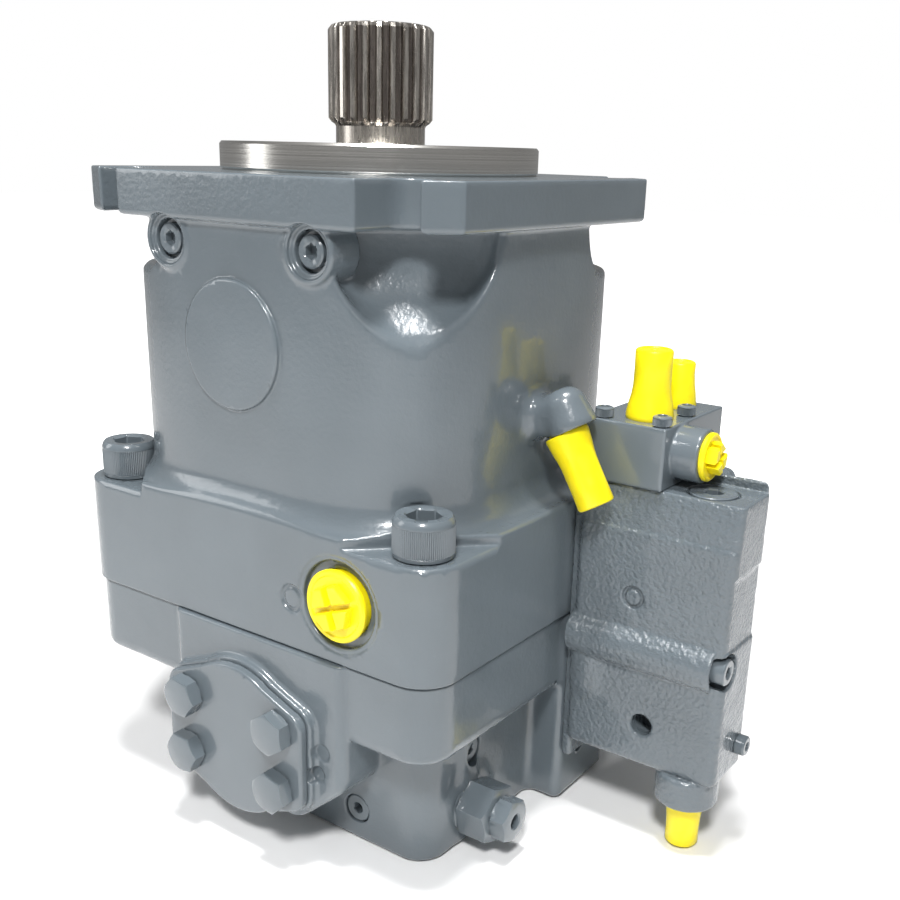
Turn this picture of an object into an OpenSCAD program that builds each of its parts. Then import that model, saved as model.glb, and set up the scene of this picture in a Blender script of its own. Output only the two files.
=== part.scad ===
// Axial piston pump: swashplate type, variable displacement, standing on its port plate.
// Origin: centre of the mounting flange face. +Z runs along the drive shaft, out of the pump.
// +X is the side that carries the control valve, -Y the side of the pressure port.

/* [Mounting flange] */
// Diameter of the centring pilot
pilot_d = 152.4; // [150:0.1:154]
// Height of the pilot above the flange face
pilot_h = 12.7; // [8:0.1:14]
// Length of the flange along X
flange_w = 210; // [206:1:216]
// Length of the flange along Y
flange_d = 204; // [202:1:212]
// Thickness of the flange
flange_t = 20.4; // [18:0.1:22]
// Distance between two flange bolts along X and Y
bolt_pitch = 161.6; // [160:0.1:163]
// Width of the open flange slots
slot_w = 20.6; // [18:0.1:22]

/* [Housing] */
// Distance from the flange face to the port plate joint
housing_len = 205; // [203:1:207]
// Distance from the shaft axis to each flat side panel
panel_r = 98; // [97:1:100]
// Radius of the rounded corners between the side panels
corner_r = 114; // [112:1:116]
// Length of the housing foot along X
foot_w = 226; // [224:1:230]
// Length of the housing foot along Y
foot_d = 208; // [206:1:210]
// Height of the housing foot
foot_h = 54; // [50:1:58]
// Inner radius of the housing around the cylinder block
cavity_r = 80; // [79:0.5:81]

/* [Drive shaft] */
// Outer diameter of the splined shaft end
spline_d = 49.6; // [48:0.1:50]
// Number of spline teeth
spline_teeth = 24; // [20:1:26]
// Distance from the flange face to the end of the shaft
shaft_top = 65.3; // [60:0.1:70]

/* [Rotating group] */
// Diameter of each piston
piston_d = 25; // [23:0.5:25]
// Radius of the circle of piston bores
pitch_r = 54; // [53.5:0.1:54]
// Radius of the cylinder block
block_r = 73; // [72:0.5:74]

/* [Port plate] */
// Depth from the flange face to the underside of the pump
floor_drop = 312; // [308:1:318]
// Height of the full-width band of the port plate
band_h = 39; // [36:1:42]
// Bore of the suction port
suction_d = 63.5; // [50:0.5:64]
// Bore of the pressure port
pressure_d = 31.8; // [25:0.1:32]

/* [Control valve] */
// Length of the valve body along X
valve_w = 79.5; // [76:0.5:84]
// Thickness of the valve body along Y
valve_d = 34.5; // [33:0.5:36]
// Height of the valve body
valve_h = 139; // [136:1:142]

/* [Hidden] */

$fn = 96;
eps = 0.05;      // running clearance between moving faces
slack = 0.02;    // clearance between seated faces
enamel = [0.52, 0.56, 0.59];
cast_iron = [0.42, 0.44, 0.46];
steel = [0.78, 0.78, 0.76];
bronze = [0.72, 0.55, 0.30];
rubber = [0.12, 0.12, 0.12];
plastic = [0.98, 0.92, 0.08];

bolt_r = bolt_pitch / 2;
joint_z = -housing_len;
floor_z = -floor_drop;
band_z = joint_z - band_h;
pivot_z = -92;            // tilt axis of the swashplate
foot_top = joint_z + foot_h;
shaft_r = 24;             // plain shaft inside the housing
journal_r = 25;           // front bearing and seal journal
rear_r = 17.5;            // rear bearing journal
piston_n = 9;
piston_r = piston_d / 2;
ball_r = 9;
ball_pitch = pitch_r + 0.92;
bore_gap = 1.1;           // piston bores allow for the ellipse the balls run on when tilted
slipper_r = 15;
slipper_neck_r = 12;
oil_hole_r = 1.2;
pad_h = 14;               // slipper running face above the ball centres
disc_r = 72;
disc_t = 10;
cradle_r = 50;
shell_t = 3;
ear_pitch = 66;           // X and Y of the control pistons
control_r = 10;
screw_x = 94.4;           // casing screws
screw_y = 85.65;
screw_head_r = 13.5;
screw_head_h = 18;
valve_x = foot_w / 2 + 4.3;
valve_y = 6;
valve_top = -133;
valve_end = valve_x + valve_w;
pilot_x0 = 117.5;
pilot_w = 40;
pilot_top = -104;

// ---------- shared shapes ----------

// Rectangle with round corners, centred
module rounded(w, d, r) {
  square([w - 2 * r, d], center = true);
  square([w, d - 2 * r], center = true);
  for (x = [-1, 1], y = [-1, 1])
    translate([x * (w / 2 - r), y * (d / 2 - r)]) circle(r);
}

// Ring between two radii, from z = 0 up
module ring(r_out, r_in, h) {
  difference() {
    cylinder(r = r_out, h = h);
    translate([0, 0, -1]) cylinder(r = r_in, h = h + 2);
  }
}

module at_corners(x, y) {
  for (sx = [-1, 1], sy = [-1, 1]) translate([sx * x, sy * y]) children();
}

// Hexagon prism measured across its flats
module hex(flats, h) {
  cylinder(d = flats / cos(30), h = h, $fn = 6);
}

// Socket head screw hanging from z = 0 (underside of the head), shank down
module socket_screw(head_r, head_h, shank_r, len, key) {
  difference() {
    union() {
      cylinder(r = head_r, h = head_h);
      translate([0, 0, -len]) cylinder(r = shank_r, h = len + 1);
    }
    translate([0, 0, head_h / 2]) hex(key, head_h);
  }
}

// Threaded plug with a socket, its face at z = 0, body below
module socket_plug(r, depth, key) {
  difference() {
    translate([0, 0, -depth]) cylinder(r = r, h = depth);
    translate([0, 0, -depth / 2]) hex(key, depth);
  }
}

// Spline outline: a root circle with straight-sided teeth
module spline(root_r, tip_r, teeth, w) {
  circle(root_r);
  for (i = [0:teeth - 1]) rotate(i * 360 / teeth)
    translate([root_r - 1, -w / 2]) square([tip_r - root_r + 1, w]);
}

// Coil spring standing on z = 0, wire swept round as a closed tube
module coil(r, wire_r, h, turns, sides = 8, steps = 20) {
  n = turns * steps;
  pitch = (h - 2 * wire_r) / n;
  points = [for (i = [0:n], k = [0:sides - 1])
    let (a = 360 * i / steps, b = 360 * k / sides, q = r + wire_r * cos(b))
      [q * cos(a), q * sin(a), wire_r + i * pitch + wire_r * sin(b)]];
  walls = [for (i = [0:n - 1], k = [0:sides - 1])
    let (m = (k + 1) % sides)
      [i * sides + k, (i + 1) * sides + k, (i + 1) * sides + m, i * sides + m]];
  start = [for (k = [0:sides - 1]) k];
  end = [for (k = [sides - 1:-1:0]) n * sides + k];
  polyhedron(points, concat(walls, [start, end]), convexity = 10);
}

// Roller row of a bearing
module rollers(pitch, r, h, n) {
  for (i = [0:n - 1]) rotate(i * 360 / n) translate([pitch, 0, 0]) cylinder(r = r, h = h, $fn = 24);
}

module along_x() { rotate([0, 90, 0]) children(); }
module along_minus_y() { rotate([90, 0, 0]) children(); }

// ---------- housing ----------

front_bearing_z = -34;
front_bearing_h = 25;
bearing_r = 50;
seal_r = 38;
snap_ring_z = 9;
cavity_top = -47;
ear_pocket_len = 35;
ear_pocket_w = 34;
ear_pocket_h = 67.6;
ear_pocket_z = -114;
plug_r = 7;
plug_x = 42.5;
plug_z = -29.5;
drain_x = 62;
drain_z = -177;
bleed_face_z = 3.4;
drain_bore_r = 15.5;
drain_seat_r = 20;

// Flange plate: its corners are cut back further on the +X side
module flange_outline() {
  corner_x = 74.5;
  corner_y = 76.6;
  far_corner_y = 88.7;
  w = flange_w / 2;
  d = flange_d / 2;
  difference() {
    polygon([[-corner_x, -d], [corner_x, -d], [w, -corner_y], [w, corner_y],
             [corner_x, d], [-corner_x, d], [-w, far_corner_y], [-w, -far_corner_y]]);
    for (x = [-1, 1], y = [-1, 1]) translate([x * bolt_r, y * bolt_r]) {
      circle(d = slot_w);
      translate([-slot_w / 2, y < 0 ? -d : 0]) square([slot_w, d]);
    }
  }
}

module body_outline() {
  intersection() {
    square(2 * panel_r, center = true);
    circle(corner_r);
  }
}

// Pocket under a flange corner, so that a flange bolt can be reached
module corner_pockets() {
  pocket_r = 89;
  pocket_h = 24;
  pocket_w = 70;
  middle = bolt_r + 11;
  difference() {
    translate([0, 0, -flange_t - pocket_h]) intersection() {
      cylinder(r = corner_r + 5, h = pocket_h);
      at_corners(middle, middle) translate([-pocket_w / 2, -pocket_w / 2, 0])
        cube([pocket_w, pocket_w, pocket_h]);
    }
    translate([0, 0, -flange_t - pocket_h - 1]) cylinder(r = pocket_r, h = pocket_h + 2);
  }
}

module foot_outline() {
  foot_corner_r = 18.5;
  rounded(foot_w, foot_d, foot_corner_r);
}

// Cradle seats that carry the swashplate runners
module cradle_blocks() {
  seat_x = 34;
  seat_w = 42;
  seat_d = 76;
  seat_h = 10;
  for (s = [-1, 1])
    translate([s * (seat_x + seat_w / 2), 0, cavity_top - seat_h / 2 + 1])
      cube([seat_w, seat_d, seat_h], center = true);
}

module cavity() {
  cradle_len = 148;
  ear_pocket_x = 70;
  shaft_relief_r = 40;
  difference() {
    translate([0, 0, joint_z - 1]) cylinder(r = cavity_r, h = cavity_top - joint_z + 1);
    cradle_blocks();
  }
  translate([-cradle_len / 2, 0, pivot_z]) along_x() cylinder(r = cradle_r + shell_t, h = cradle_len);
  // pockets for the two ears of the swashplate
  for (a = [45, 225]) rotate(a)
    translate([ear_pocket_x, -ear_pocket_w / 2, ear_pocket_z])
      cube([ear_pocket_len, ear_pocket_w, ear_pocket_h]);
  // bores of the two control pistons
  for (s = [-1, 1])
    translate([s * ear_pitch, s * ear_pitch, joint_z - 1])
      cylinder(r = control_r + eps, h = 100);
  translate([0, 0, front_bearing_z]) cylinder(r = bearing_r, h = front_bearing_h);
  translate([0, 0, cavity_top - 1]) cylinder(r = shaft_relief_r, h = front_bearing_z - cavity_top + 2);
  translate([0, 0, -10]) cylinder(r = seal_r, h = 30);
  translate([0, 0, snap_ring_z]) cylinder(r = seal_r + 1.5, h = 1.8);
}

module housing() {
  pad_cut = 168;
  screw_hole_r = 9.5;
  bleed_boss_r = 12;
  bleed_boss_h = 34;
  bleed_hood_h = 20;
  bleed_hole_r = 6;
  color(enamel) difference() {
    union() {
      cylinder(r = pilot_d / 2, h = pilot_h);
      translate([0, 0, -flange_t]) linear_extrude(flange_t) flange_outline();
      translate([0, 0, joint_z]) linear_extrude(housing_len - flange_t + 1) body_outline();
      translate([0, 0, joint_z]) linear_extrude(foot_h) foot_outline();
      translate([0, 0, foot_top - 1]) linear_extrude(6) intersection() {
        square([foot_w - 8, foot_d - 4], center = true);
        rotate(45) square(pad_cut * sqrt(2), center = true);
      }
      // boss of the bleed port: a cone out of the panel and a hood on its outer side
      bleed_axis() translate([0, 0, -bleed_boss_h])
        cylinder(r1 = bleed_boss_r / 2, r2 = bleed_boss_r, h = bleed_boss_h + bleed_face_z - 1);
      bleed_axis() translate([-4.5, 0, bleed_face_z - bleed_hood_h])
        cylinder(r1 = bleed_boss_r - 2, r2 = bleed_boss_r, h = bleed_hood_h);
    }
    corner_pockets();
    cavity();
    for (x = [-1, 1], y = [-1, 1]) translate([x * screw_x, y * screw_y, joint_z - 1]) {
      cylinder(r = screw_hole_r, h = foot_h + 10);
      translate([0, 0, foot_h + 1]) cylinder(r = screw_head_r + 1.2, h = screw_head_h + 2);
    }
    // plugs in the side panel
    for (s = [-1, 1]) translate([s * plug_x, -panel_r, plug_z]) along_minus_y() {
      translate([0, 0, -1]) cylinder(r = plug_r + 1.6, h = 3);
      translate([0, 0, -9]) cylinder(r = plug_r, h = 12);
    }
    translate([drain_x, -foot_d / 2, drain_z]) along_minus_y() {
      translate([0, 0, -4]) cylinder(r = drain_seat_r, h = 6);
      translate([0, 0, -20]) cylinder(r = drain_bore_r, h = 21);
      translate([0, 0, -45]) cylinder(r = drain_bore_r / 2, h = 30);
    }
    bleed_axis() translate([0, 0, -8]) cylinder(r = bleed_hole_r, h = 20);
  }
}

module joint_seal() {
  color(rubber) translate([0, 0, joint_z])
    rotate_extrude() translate([cavity_r + 1.4, -0.6]) circle(0.55, $fn = 16);
}

module shaft_seal() {
  color(rubber) translate([0, 0, -6]) ring(seal_r, journal_r + eps, 12);
}

module seal_snap_ring() {
  color(steel) translate([0, 0, snap_ring_z + slack]) difference() {
    ring(seal_r + 1.4, seal_r - 4, 1.7);
    translate([20, -8, -1]) cube([30, 16, 4]);
  }
}

// ---------- port plate ----------

cover_x = 5;
cover_z = -257;
cover_pitch_x = 58.7;
cover_pitch_z = 30.2;
boss_y = -110;
cover_t = 5;
suction_z = -266;
suction_pitch_x = 88.9;
suction_pitch_z = 50.8;
rear_bearing_r = 36;
rear_bearing_h = 22;
lower_x0 = -58;
lower_x1 = 94;
lower_y0 = -79;
lower_y1 = foot_d / 2;
relief_y = -46;
relief_z = -291;

module kidney(r, w, a, h) {
  rotate(-a / 2) rotate_extrude(angle = a) translate([r - w / 2, 0]) square([w, h]);
  for (s = [-1, 1]) rotate(s * a / 2) translate([r, 0, 0]) cylinder(d = w, h = h);
}

module cover_outline(grow) {
  $fn = 32;
  hull() {
    circle(38 + grow);
    for (x = [-1, 1], y = [-1, 1]) translate([x * 35.5, y * 17]) circle(8.5 + grow);
  }
}

module port_plate_solid() {
  translate([0, 0, band_z]) linear_extrude(band_h) rounded(foot_w - 3, foot_d - 3, 18);
  // raised pressure side
  translate([-43, boss_y + 4, floor_z + 18]) cube([109, 60, joint_z - floor_z - 18]);
  translate([cover_x, boss_y + 10, cover_z]) along_minus_y() linear_extrude(10) cover_outline(1.5);
  // lower block with the ports
  translate([(lower_x0 + lower_x1) / 2, (lower_y0 + lower_y1) / 2, floor_z])
    linear_extrude(band_z - floor_z + 1) rounded(lower_x1 - lower_x0, lower_y1 - lower_y0, 14);
  // block under the control valve
  translate([60, 9, floor_z]) cube([foot_w / 2 - 60, 50, joint_z - floor_z - 2]);
}

module port_plate() {
  gallery_w = 16;
  gallery_a = 96;
  screw_hole_r = 7.65;
  port_screw_r = 5;
  color(enamel) difference() {
    port_plate_solid();
    // sloping lower corner of the pressure side
    translate([66, boss_y, floor_z + 18]) rotate([0, 45, 0]) cube([48, 40, 62], center = true);
    translate([0, 0, joint_z - rear_bearing_h]) cylinder(r = rear_bearing_r, h = 40);
    translate([0, 0, joint_z - 1.2]) ring(cavity_r + 2.1, cavity_r + 0.7, 3);
    // kidney galleries, then the two ports
    for (s = [-1, 1]) rotate(s > 0 ? 0 : 180) translate([0, 0, joint_z - 20])
      kidney(pitch_r, gallery_w, gallery_a, 21);
    translate([cover_x, -20, cover_z]) along_minus_y() cylinder(d = pressure_d, h = 100);
    translate([cover_x, -22, cover_z]) along_x() cylinder(r = 13, h = 48);
    translate([48, -22, cover_z]) cylinder(r = 10, h = 50);
    translate([0, 22, suction_z]) rotate([-90, 0, 0]) cylinder(d = suction_d, h = 90);
    translate([-50, 22, suction_z]) cylinder(r = 12, h = 60);
    translate([-50, 36, suction_z]) along_x() cylinder(r = 14, h = 40);
    for (x = [-1, 1], z = [-1, 1]) {
      translate([cover_x + x * cover_pitch_x / 2, boss_y + 22, cover_z + z * cover_pitch_z / 2])
        along_minus_y() cylinder(r = port_screw_r, h = 30);
      translate([x * suction_pitch_x / 2, lower_y1 + 1, suction_z + z * suction_pitch_z / 2])
        along_minus_y() cylinder(r = port_screw_r, h = 24);
    }
    for (x = [-1, 1], y = [-1, 1])
      translate([x * screw_x, y * screw_y, joint_z - 34]) cylinder(r = screw_hole_r, h = 40);
    port_plug_places() translate([0, 0, -11]) cylinder(r = plug_r, h = 14);
    translate([lower_x1, relief_y, relief_z]) along_x() translate([0, 0, -24]) cylinder(r = 9, h = 26);
    translate([foot_w / 2, 30, -287]) along_x() translate([0, 0, -12]) cylinder(r = 4, h = 14);
  }
}

module port_plug_places() {
  translate([51.6, lower_y0, -295]) along_minus_y() children();
  translate([lower_x1, -44, -263]) along_x() children();
}

module port_plate_plugs() {
  color(enamel) port_plug_places() translate([0, 0, -1]) socket_plug(plug_r - slack, 9, 5);
}

module port_cover() {
  color(enamel) difference() {
    translate([cover_x, boss_y - slack, cover_z]) along_minus_y() linear_extrude(cover_t) cover_outline(0);
    cover_bolt_places() translate([0, 0, -10]) cylinder(r = 6.5, h = 30);
  }
}

// Seats of the four cover bolts, their axes pointing out of the cover
module cover_bolt_places() {
  for (x = [-1, 1], z = [-1, 1])
    translate([cover_x + x * cover_pitch_x / 2, boss_y - cover_t - 2 * slack,
               cover_z + z * cover_pitch_z / 2]) along_minus_y() children();
}

module port_cover_bolts() {
  head_flats = 18;
  head_h = 7.5;
  shank_r = 5;
  color(enamel) cover_bolt_places() {
    rotate(30) hex(head_flats, head_h);
    translate([0, 0, -24]) cylinder(r = shank_r - slack, h = 25);
  }
}

module casing_screws() {
  shank_r = 7.6;
  key = 14;
  color(enamel) for (x = [-1, 1], y = [-1, 1])
    translate([x * screw_x, y * screw_y, foot_top])
      socket_screw(screw_head_r, screw_head_h, shank_r, foot_h + 28, key);
}

module housing_plugs() {
  color(enamel) for (s = [-1, 1]) translate([s * plug_x, -panel_r, plug_z])
    along_minus_y() translate([0, 0, -1.2]) socket_plug(plug_r - slack, 7.6, 6);
}

// Case drain port protection plug with a cross-shaped grip
module drain_plug() {
  disc = 16.6;
  flats = 19;
  slot = 2.8;
  color(plastic) translate([drain_x, -foot_d / 2, drain_z]) along_minus_y() {
    translate([0, 0, -14]) cylinder(r = drain_bore_r - slack, h = 12);
    translate([0, 0, -3]) cylinder(r = disc, h = 4);
    difference() {
      hex(flats, 5);
      for (a = [0, 90]) rotate(a) translate([-12, -slot / 2, 1]) cube([24, slot, 6]);
    }
  }
}

// Pressure relief valve screwed into the lower block
module relief_valve() {
  thread_r = 9;
  collar_r = 14;
  body_flats = 26;
  end_flats = 19;
  key = 6;
  color(enamel) translate([lower_x1, relief_y, relief_z]) along_x() difference() {
    union() {
      translate([0, 0, -20]) cylinder(r = thread_r - slack, h = 21);
      translate([0, 0, slack]) cylinder(r = collar_r, h = 3);
      translate([0, 0, 2]) hex(body_flats, 17);
      translate([0, 0, 18]) hex(end_flats, 10);
    }
    translate([0, 0, 22]) hex(key, 10);
  }
}

// ---------- shaft and bearings ----------

module drive_shaft() {
  neck_r = 21.3;
  spline_len = 43;
  tip_r = spline_d / 2;
  tooth_w = 3.2;
  color(steel) difference() {
    union() {
      translate([0, 0, shaft_top - spline_len]) linear_extrude(spline_len)
        spline(tip_r - 2.2, tip_r, spline_teeth, tooth_w);
      translate([0, 0, 11]) cylinder(r = neck_r, h = shaft_top - 20);
      translate([0, 0, front_bearing_z]) cylinder(r = journal_r, h = 11 - front_bearing_z);
      translate([0, 0, front_bearing_z - 4]) cylinder(r = 31, h = 4);
      translate([0, 0, -196]) cylinder(r = shaft_r - 2, h = 196 + front_bearing_z);
      translate([0, 0, -112]) cylinder(r = shaft_r, h = 112 + front_bearing_z);
      translate([0, 0, -196]) linear_extrude(66) spline(shaft_r - 2, shaft_r, spline_teeth, tooth_w);
      translate([0, 0, joint_z - rear_bearing_h + 1]) cylinder(r = rear_r, h = 40);
    }
    translate([0, 0, shaft_top - 22]) cylinder(r = 6, h = 30);
    rotate_extrude() polygon([[tip_r - 1.5, shaft_top + 0.1], [tip_r + 1, shaft_top + 0.1],
                              [tip_r + 1, shaft_top - 2.4]]);
  }
}

module front_bearing_cup() {
  color(steel) translate([0, 0, front_bearing_z]) ring(bearing_r, 42, front_bearing_h);
}

module front_bearing_cone() {
  color(steel) translate([0, 0, front_bearing_z]) ring(33, journal_r, front_bearing_h);
}

module front_bearing_rollers() {
  pitch = 37.5;
  roller_r = 4.44;
  count = 18;
  color(steel) translate([0, 0, front_bearing_z + 2]) rollers(pitch, roller_r, front_bearing_h - 4, count);
}

module rear_bearing_cup() {
  color(steel) translate([0, 0, joint_z - rear_bearing_h]) ring(rear_bearing_r, 30, rear_bearing_h - 1);
}

module rear_bearing_cone() {
  color(steel) translate([0, 0, joint_z - rear_bearing_h + 1]) ring(23, rear_r, rear_bearing_h - 2);
}

module rear_bearing_rollers() {
  pitch = 26.5;
  roller_r = 3.44;
  count = 16;
  color(steel) translate([0, 0, joint_z - rear_bearing_h + 2])
    rollers(pitch, roller_r, rear_bearing_h - 4, count);
}

// ---------- rotating group ----------

valve_plate_t = 5;
block_z = joint_z + valve_plate_t + eps;
block_top = -122;
block_port_r = 7.5;
guide_r = 33;             // guide ball that carries the retaining plate
spring_z = -156;

module valve_plate() {
  color(bronze) translate([0, 0, joint_z]) difference() {
    ring(72, 38, valve_plate_t);
    for (a = [0, 180]) rotate(a) translate([0, 0, -1]) kidney(pitch_r, 16, 96, valve_plate_t + 2);
  }
}

module cylinder_block() {
  color(cast_iron) difference() {
    translate([0, 0, block_z]) cylinder(r = block_r, h = block_top - block_z);
    for (i = [0:piston_n - 1]) rotate(i * 360 / piston_n) translate([pitch_r, 0, 0]) {
      translate([0, 0, -190]) cylinder(r = piston_r + bore_gap, h = 82);
      translate([0, 0, block_z - 1]) cylinder(r = block_port_r, h = 30);
    }
    translate([0, 0, spring_z]) cylinder(r = guide_r, h = 50);
    translate([0, 0, block_z - 1]) linear_extrude(60)
      spline(shaft_r - 2 + eps, shaft_r + eps, spline_teeth, 3.4);
  }
}

module guide_ball() {
  color(steel) translate([0, 0, pivot_z]) difference() {
    intersection() {
      sphere(guide_r);
      translate([0, 0, -12]) cylinder(r = guide_r + 7, h = 25);
    }
    translate([0, 0, -20]) cylinder(r = shaft_r + slack, h = 50);
  }
}

module block_spring() {
  wire_r = 2.6;
  length = pivot_z - 12 - spring_z;
  color(steel) translate([0, 0, spring_z + slack]) coil(28.5, wire_r, length - 2 * slack, 4);
}

// Places one child per piston number, with the ball centre at the origin
module at_ball(i) {
  rotate((i - 1) * 360 / piston_n) translate([ball_pitch, 0, pivot_z]) children();
}

module piston(i) {
  neck_r = 5.5;
  hollow_r = 7.5;
  color(steel) at_ball(i) difference() {
    union() {
      sphere(ball_r);
      translate([0, 0, -14]) cylinder(r = neck_r, h = 10);
      translate([0, 0, -82]) cylinder(r = piston_r, h = 71);
    }
    translate([0, 0, -83]) cylinder(r = hollow_r, h = 45);
    translate([0, 0, -60]) cylinder(r = oil_hole_r, h = 80);
  }
}

module slipper(i) {
  color(bronze) at_ball(i) difference() {
    union() {
      translate([0, 0, -5]) cylinder(r = slipper_neck_r, h = 15);
      translate([0, 0, 9.5]) cylinder(r = slipper_r, h = pad_h - 9.5 - eps);
    }
    sphere(ball_r + eps);
    translate([0, 0, pad_h - 1]) cylinder(r = 7, h = 3);
    cylinder(r = oil_hole_r, h = 20);
  }
}

module piston_1() { piston(1); }
module piston_2() { piston(2); }
module piston_3() { piston(3); }
module piston_4() { piston(4); }
module piston_5() { piston(5); }
module piston_6() { piston(6); }
module piston_7() { piston(7); }
module piston_8() { piston(8); }
module piston_9() { piston(9); }
module slipper_1() { slipper(1); }
module slipper_2() { slipper(2); }
module slipper_3() { slipper(3); }
module slipper_4() { slipper(4); }
module slipper_5() { slipper(5); }
module slipper_6() { slipper(6); }
module slipper_7() { slipper(7); }
module slipper_8() { slipper(8); }
module slipper_9() { slipper(9); }

module retaining_plate() {
  color(steel) translate([0, 0, pivot_z]) difference() {
    translate([0, 0, 5.3]) cylinder(r = 71, h = 4);
    sphere(guide_r + eps);
    for (i = [0:piston_n - 1]) rotate(i * 360 / piston_n)
      translate([ball_pitch, 0, 4]) cylinder(r = slipper_neck_r + eps, h = 8);
  }
}

// ---------- swashplate and its control pistons ----------

// Disc with two ears for the control pistons, and a runner on each side
module swashplate() {
  runner_x0 = 37;
  runner_w = 30;
  ear_w = 20;
  disc_hole_r = 34;
  color(cast_iron) translate([0, 0, pivot_z]) {
    translate([0, 0, pad_h]) linear_extrude(disc_t) difference() {
      union() {
        circle(disc_r);
        for (a = [45, 225]) rotate(a) translate([disc_r - 12, -ear_w / 2]) square([40, ear_w]);
      }
      circle(disc_hole_r);
    }
    intersection() {
      for (s = [-1, 1]) translate([s * (runner_x0 + runner_w / 2) - runner_w / 2, 0, 0])
        along_x() cylinder(r = cradle_r, h = runner_w);
      translate([-80, -80, pad_h + disc_t - 2]) cube([160, 160, 60]);
    }
  }
}

module cradle_shells() {
  reach = 36;
  shell_x = 52;
  shell_w = 28;
  color(bronze) translate([0, 0, pivot_z]) intersection() {
    for (s = [-1, 1]) translate([s * shell_x - shell_w / 2, 0, 0]) along_x()
      ring(cradle_r + shell_t - slack, cradle_r + eps, shell_w);
    translate([-80, -reach, 20]) cube([160, 2 * reach, 60]);
  }
}

// Piston with a rod whose ball end meets an ear of the swashplate
module control_piston(s) {
  rod_r = 5;
  ball_z = pivot_z + 8.8;
  color(steel) translate([s * ear_pitch, s * ear_pitch, 0]) difference() {
    union() {
      translate([0, 0, -150]) cylinder(r = control_r, h = 34);
      translate([0, 0, -120]) cylinder(r = rod_r, h = ball_z + 120);
      translate([0, 0, ball_z]) sphere(rod_r);
    }
    // spring chamber
    translate([0, 0, -151]) cylinder(r = 6, h = 20);
  }
}

module stroking_piston() { control_piston(-1); }

module counter_piston() { control_piston(1); }

module counter_spring() {
  color(steel) translate([ear_pitch, ear_pitch, joint_z + slack]) coil(7.6, 1.8, 55 - 2 * slack, 6, 8, 16);
}

// ---------- control valve ----------

spool_x = valve_x + 58.8;
spool_y = valve_y + 17;
spool_r = 6;
ridge_z = -212;
ridge_y = valve_y + 5;
back_boss_r = 8;
back_boss_x = pilot_x0 + pilot_w + back_boss_r + 0.5;
pressure_spool_r = 5;
spool_plug_r = 11;
ridge_plug_r = 8;
end_screw_y = valve_y + 27;
end_screw_z = -258;
bottom_boss_h = 15;
bottom_cap_x = valve_end - 17.5;
bottom_cap_y = valve_y + 12;

module valve_body() {
  ridge_r = 11.5;
  tank_hole_r = 5.4;
  tank_hole_z = -250;
  color(enamel) difference() {
    union() {
      translate([valve_x, valve_y, valve_top - valve_h]) cube([valve_w, valve_d, valve_h]);
      translate([foot_w / 2 + slack, valve_y + 3, valve_top - 150]) cube([6, 31, 150]);
      translate([valve_x, ridge_y, ridge_z]) along_x() cylinder(r = ridge_r, h = valve_w - 4);
      translate([valve_x, valve_y + valve_d - 1, valve_top - 105]) cube([48, 36, 92]);
      translate([back_boss_x, valve_y + valve_d + 7, valve_top - 40])
        cylinder(r = back_boss_r, h = 44);
      translate([bottom_cap_x, bottom_cap_y, valve_top - valve_h - bottom_boss_h])
        cylinder(r = 15.3, h = bottom_boss_h + 1);
    }
    // spool bore and its spring chamber
    translate([spool_x, spool_y, valve_top - 90]) cylinder(r = spool_r + eps, h = 100);
    translate([spool_x, spool_y, valve_top - 90]) cylinder(r = 8, h = 26);
    translate([spool_x, spool_y, valve_top - 10]) cylinder(r = spool_plug_r, h = 11);
    translate([valve_x + 14, ridge_y, ridge_z]) along_x() cylinder(r = pressure_spool_r + eps, h = 80);
    translate([valve_end - 10, ridge_y, ridge_z]) along_x() cylinder(r = ridge_plug_r, h = 12);
    translate([valve_x + 40.5, valve_y - 1, tank_hole_z]) rotate([-90, 0, 0])
      cylinder(r = tank_hole_r, h = 16);
    translate([bottom_cap_x, bottom_cap_y, valve_top - valve_h - 20]) cylinder(r = 6, h = 30);
    translate([valve_end - 14, end_screw_y, end_screw_z]) along_x() cylinder(r = 3, h = 16);
  }
}

module control_spool() {
  land = 8;
  color(steel) translate([spool_x, spool_y, valve_top - 64]) {
    cylinder(r = 3.2, h = 50);
    for (z = [0, 20, 42]) translate([0, 0, z]) cylinder(r = spool_r, h = land);
  }
}

module spool_spring() {
  color(steel) translate([spool_x, spool_y, valve_top - 90 + slack]) coil(5.2, 1, 26 - 2 * slack, 6, 6, 16);
}

module pressure_spool() {
  land = 8;
  color(steel) translate([valve_x + 20, ridge_y, ridge_z]) along_x() {
    cylinder(r = 2.6, h = 40);
    for (z = [0, 16, 32]) translate([0, 0, z]) cylinder(r = pressure_spool_r, h = land);
  }
}

// Flush spool plug, ridge plug and the small end screw
module valve_plugs() {
  color(enamel) {
    translate([spool_x, spool_y, valve_top + 0.4]) socket_plug(spool_plug_r - slack, 8, 8);
    translate([valve_end - 1.5, ridge_y, ridge_z]) along_x()
      socket_plug(ridge_plug_r - slack, 8, 6);
    translate([valve_end + slack, end_screw_y, end_screw_z]) along_x()
      socket_screw(5, 5, 3 - slack, 12, 4);
  }
}

// ---------- pilot valve ----------

pilot_len = 64;
nose_r = 12.6;
nose_bore_r = 8;
pilot_screw_r = 2.6;
nose_y = 25;
nose_z = -117.5;
cap_1 = [141, 24];
cap_2 = [140, 56];

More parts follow.
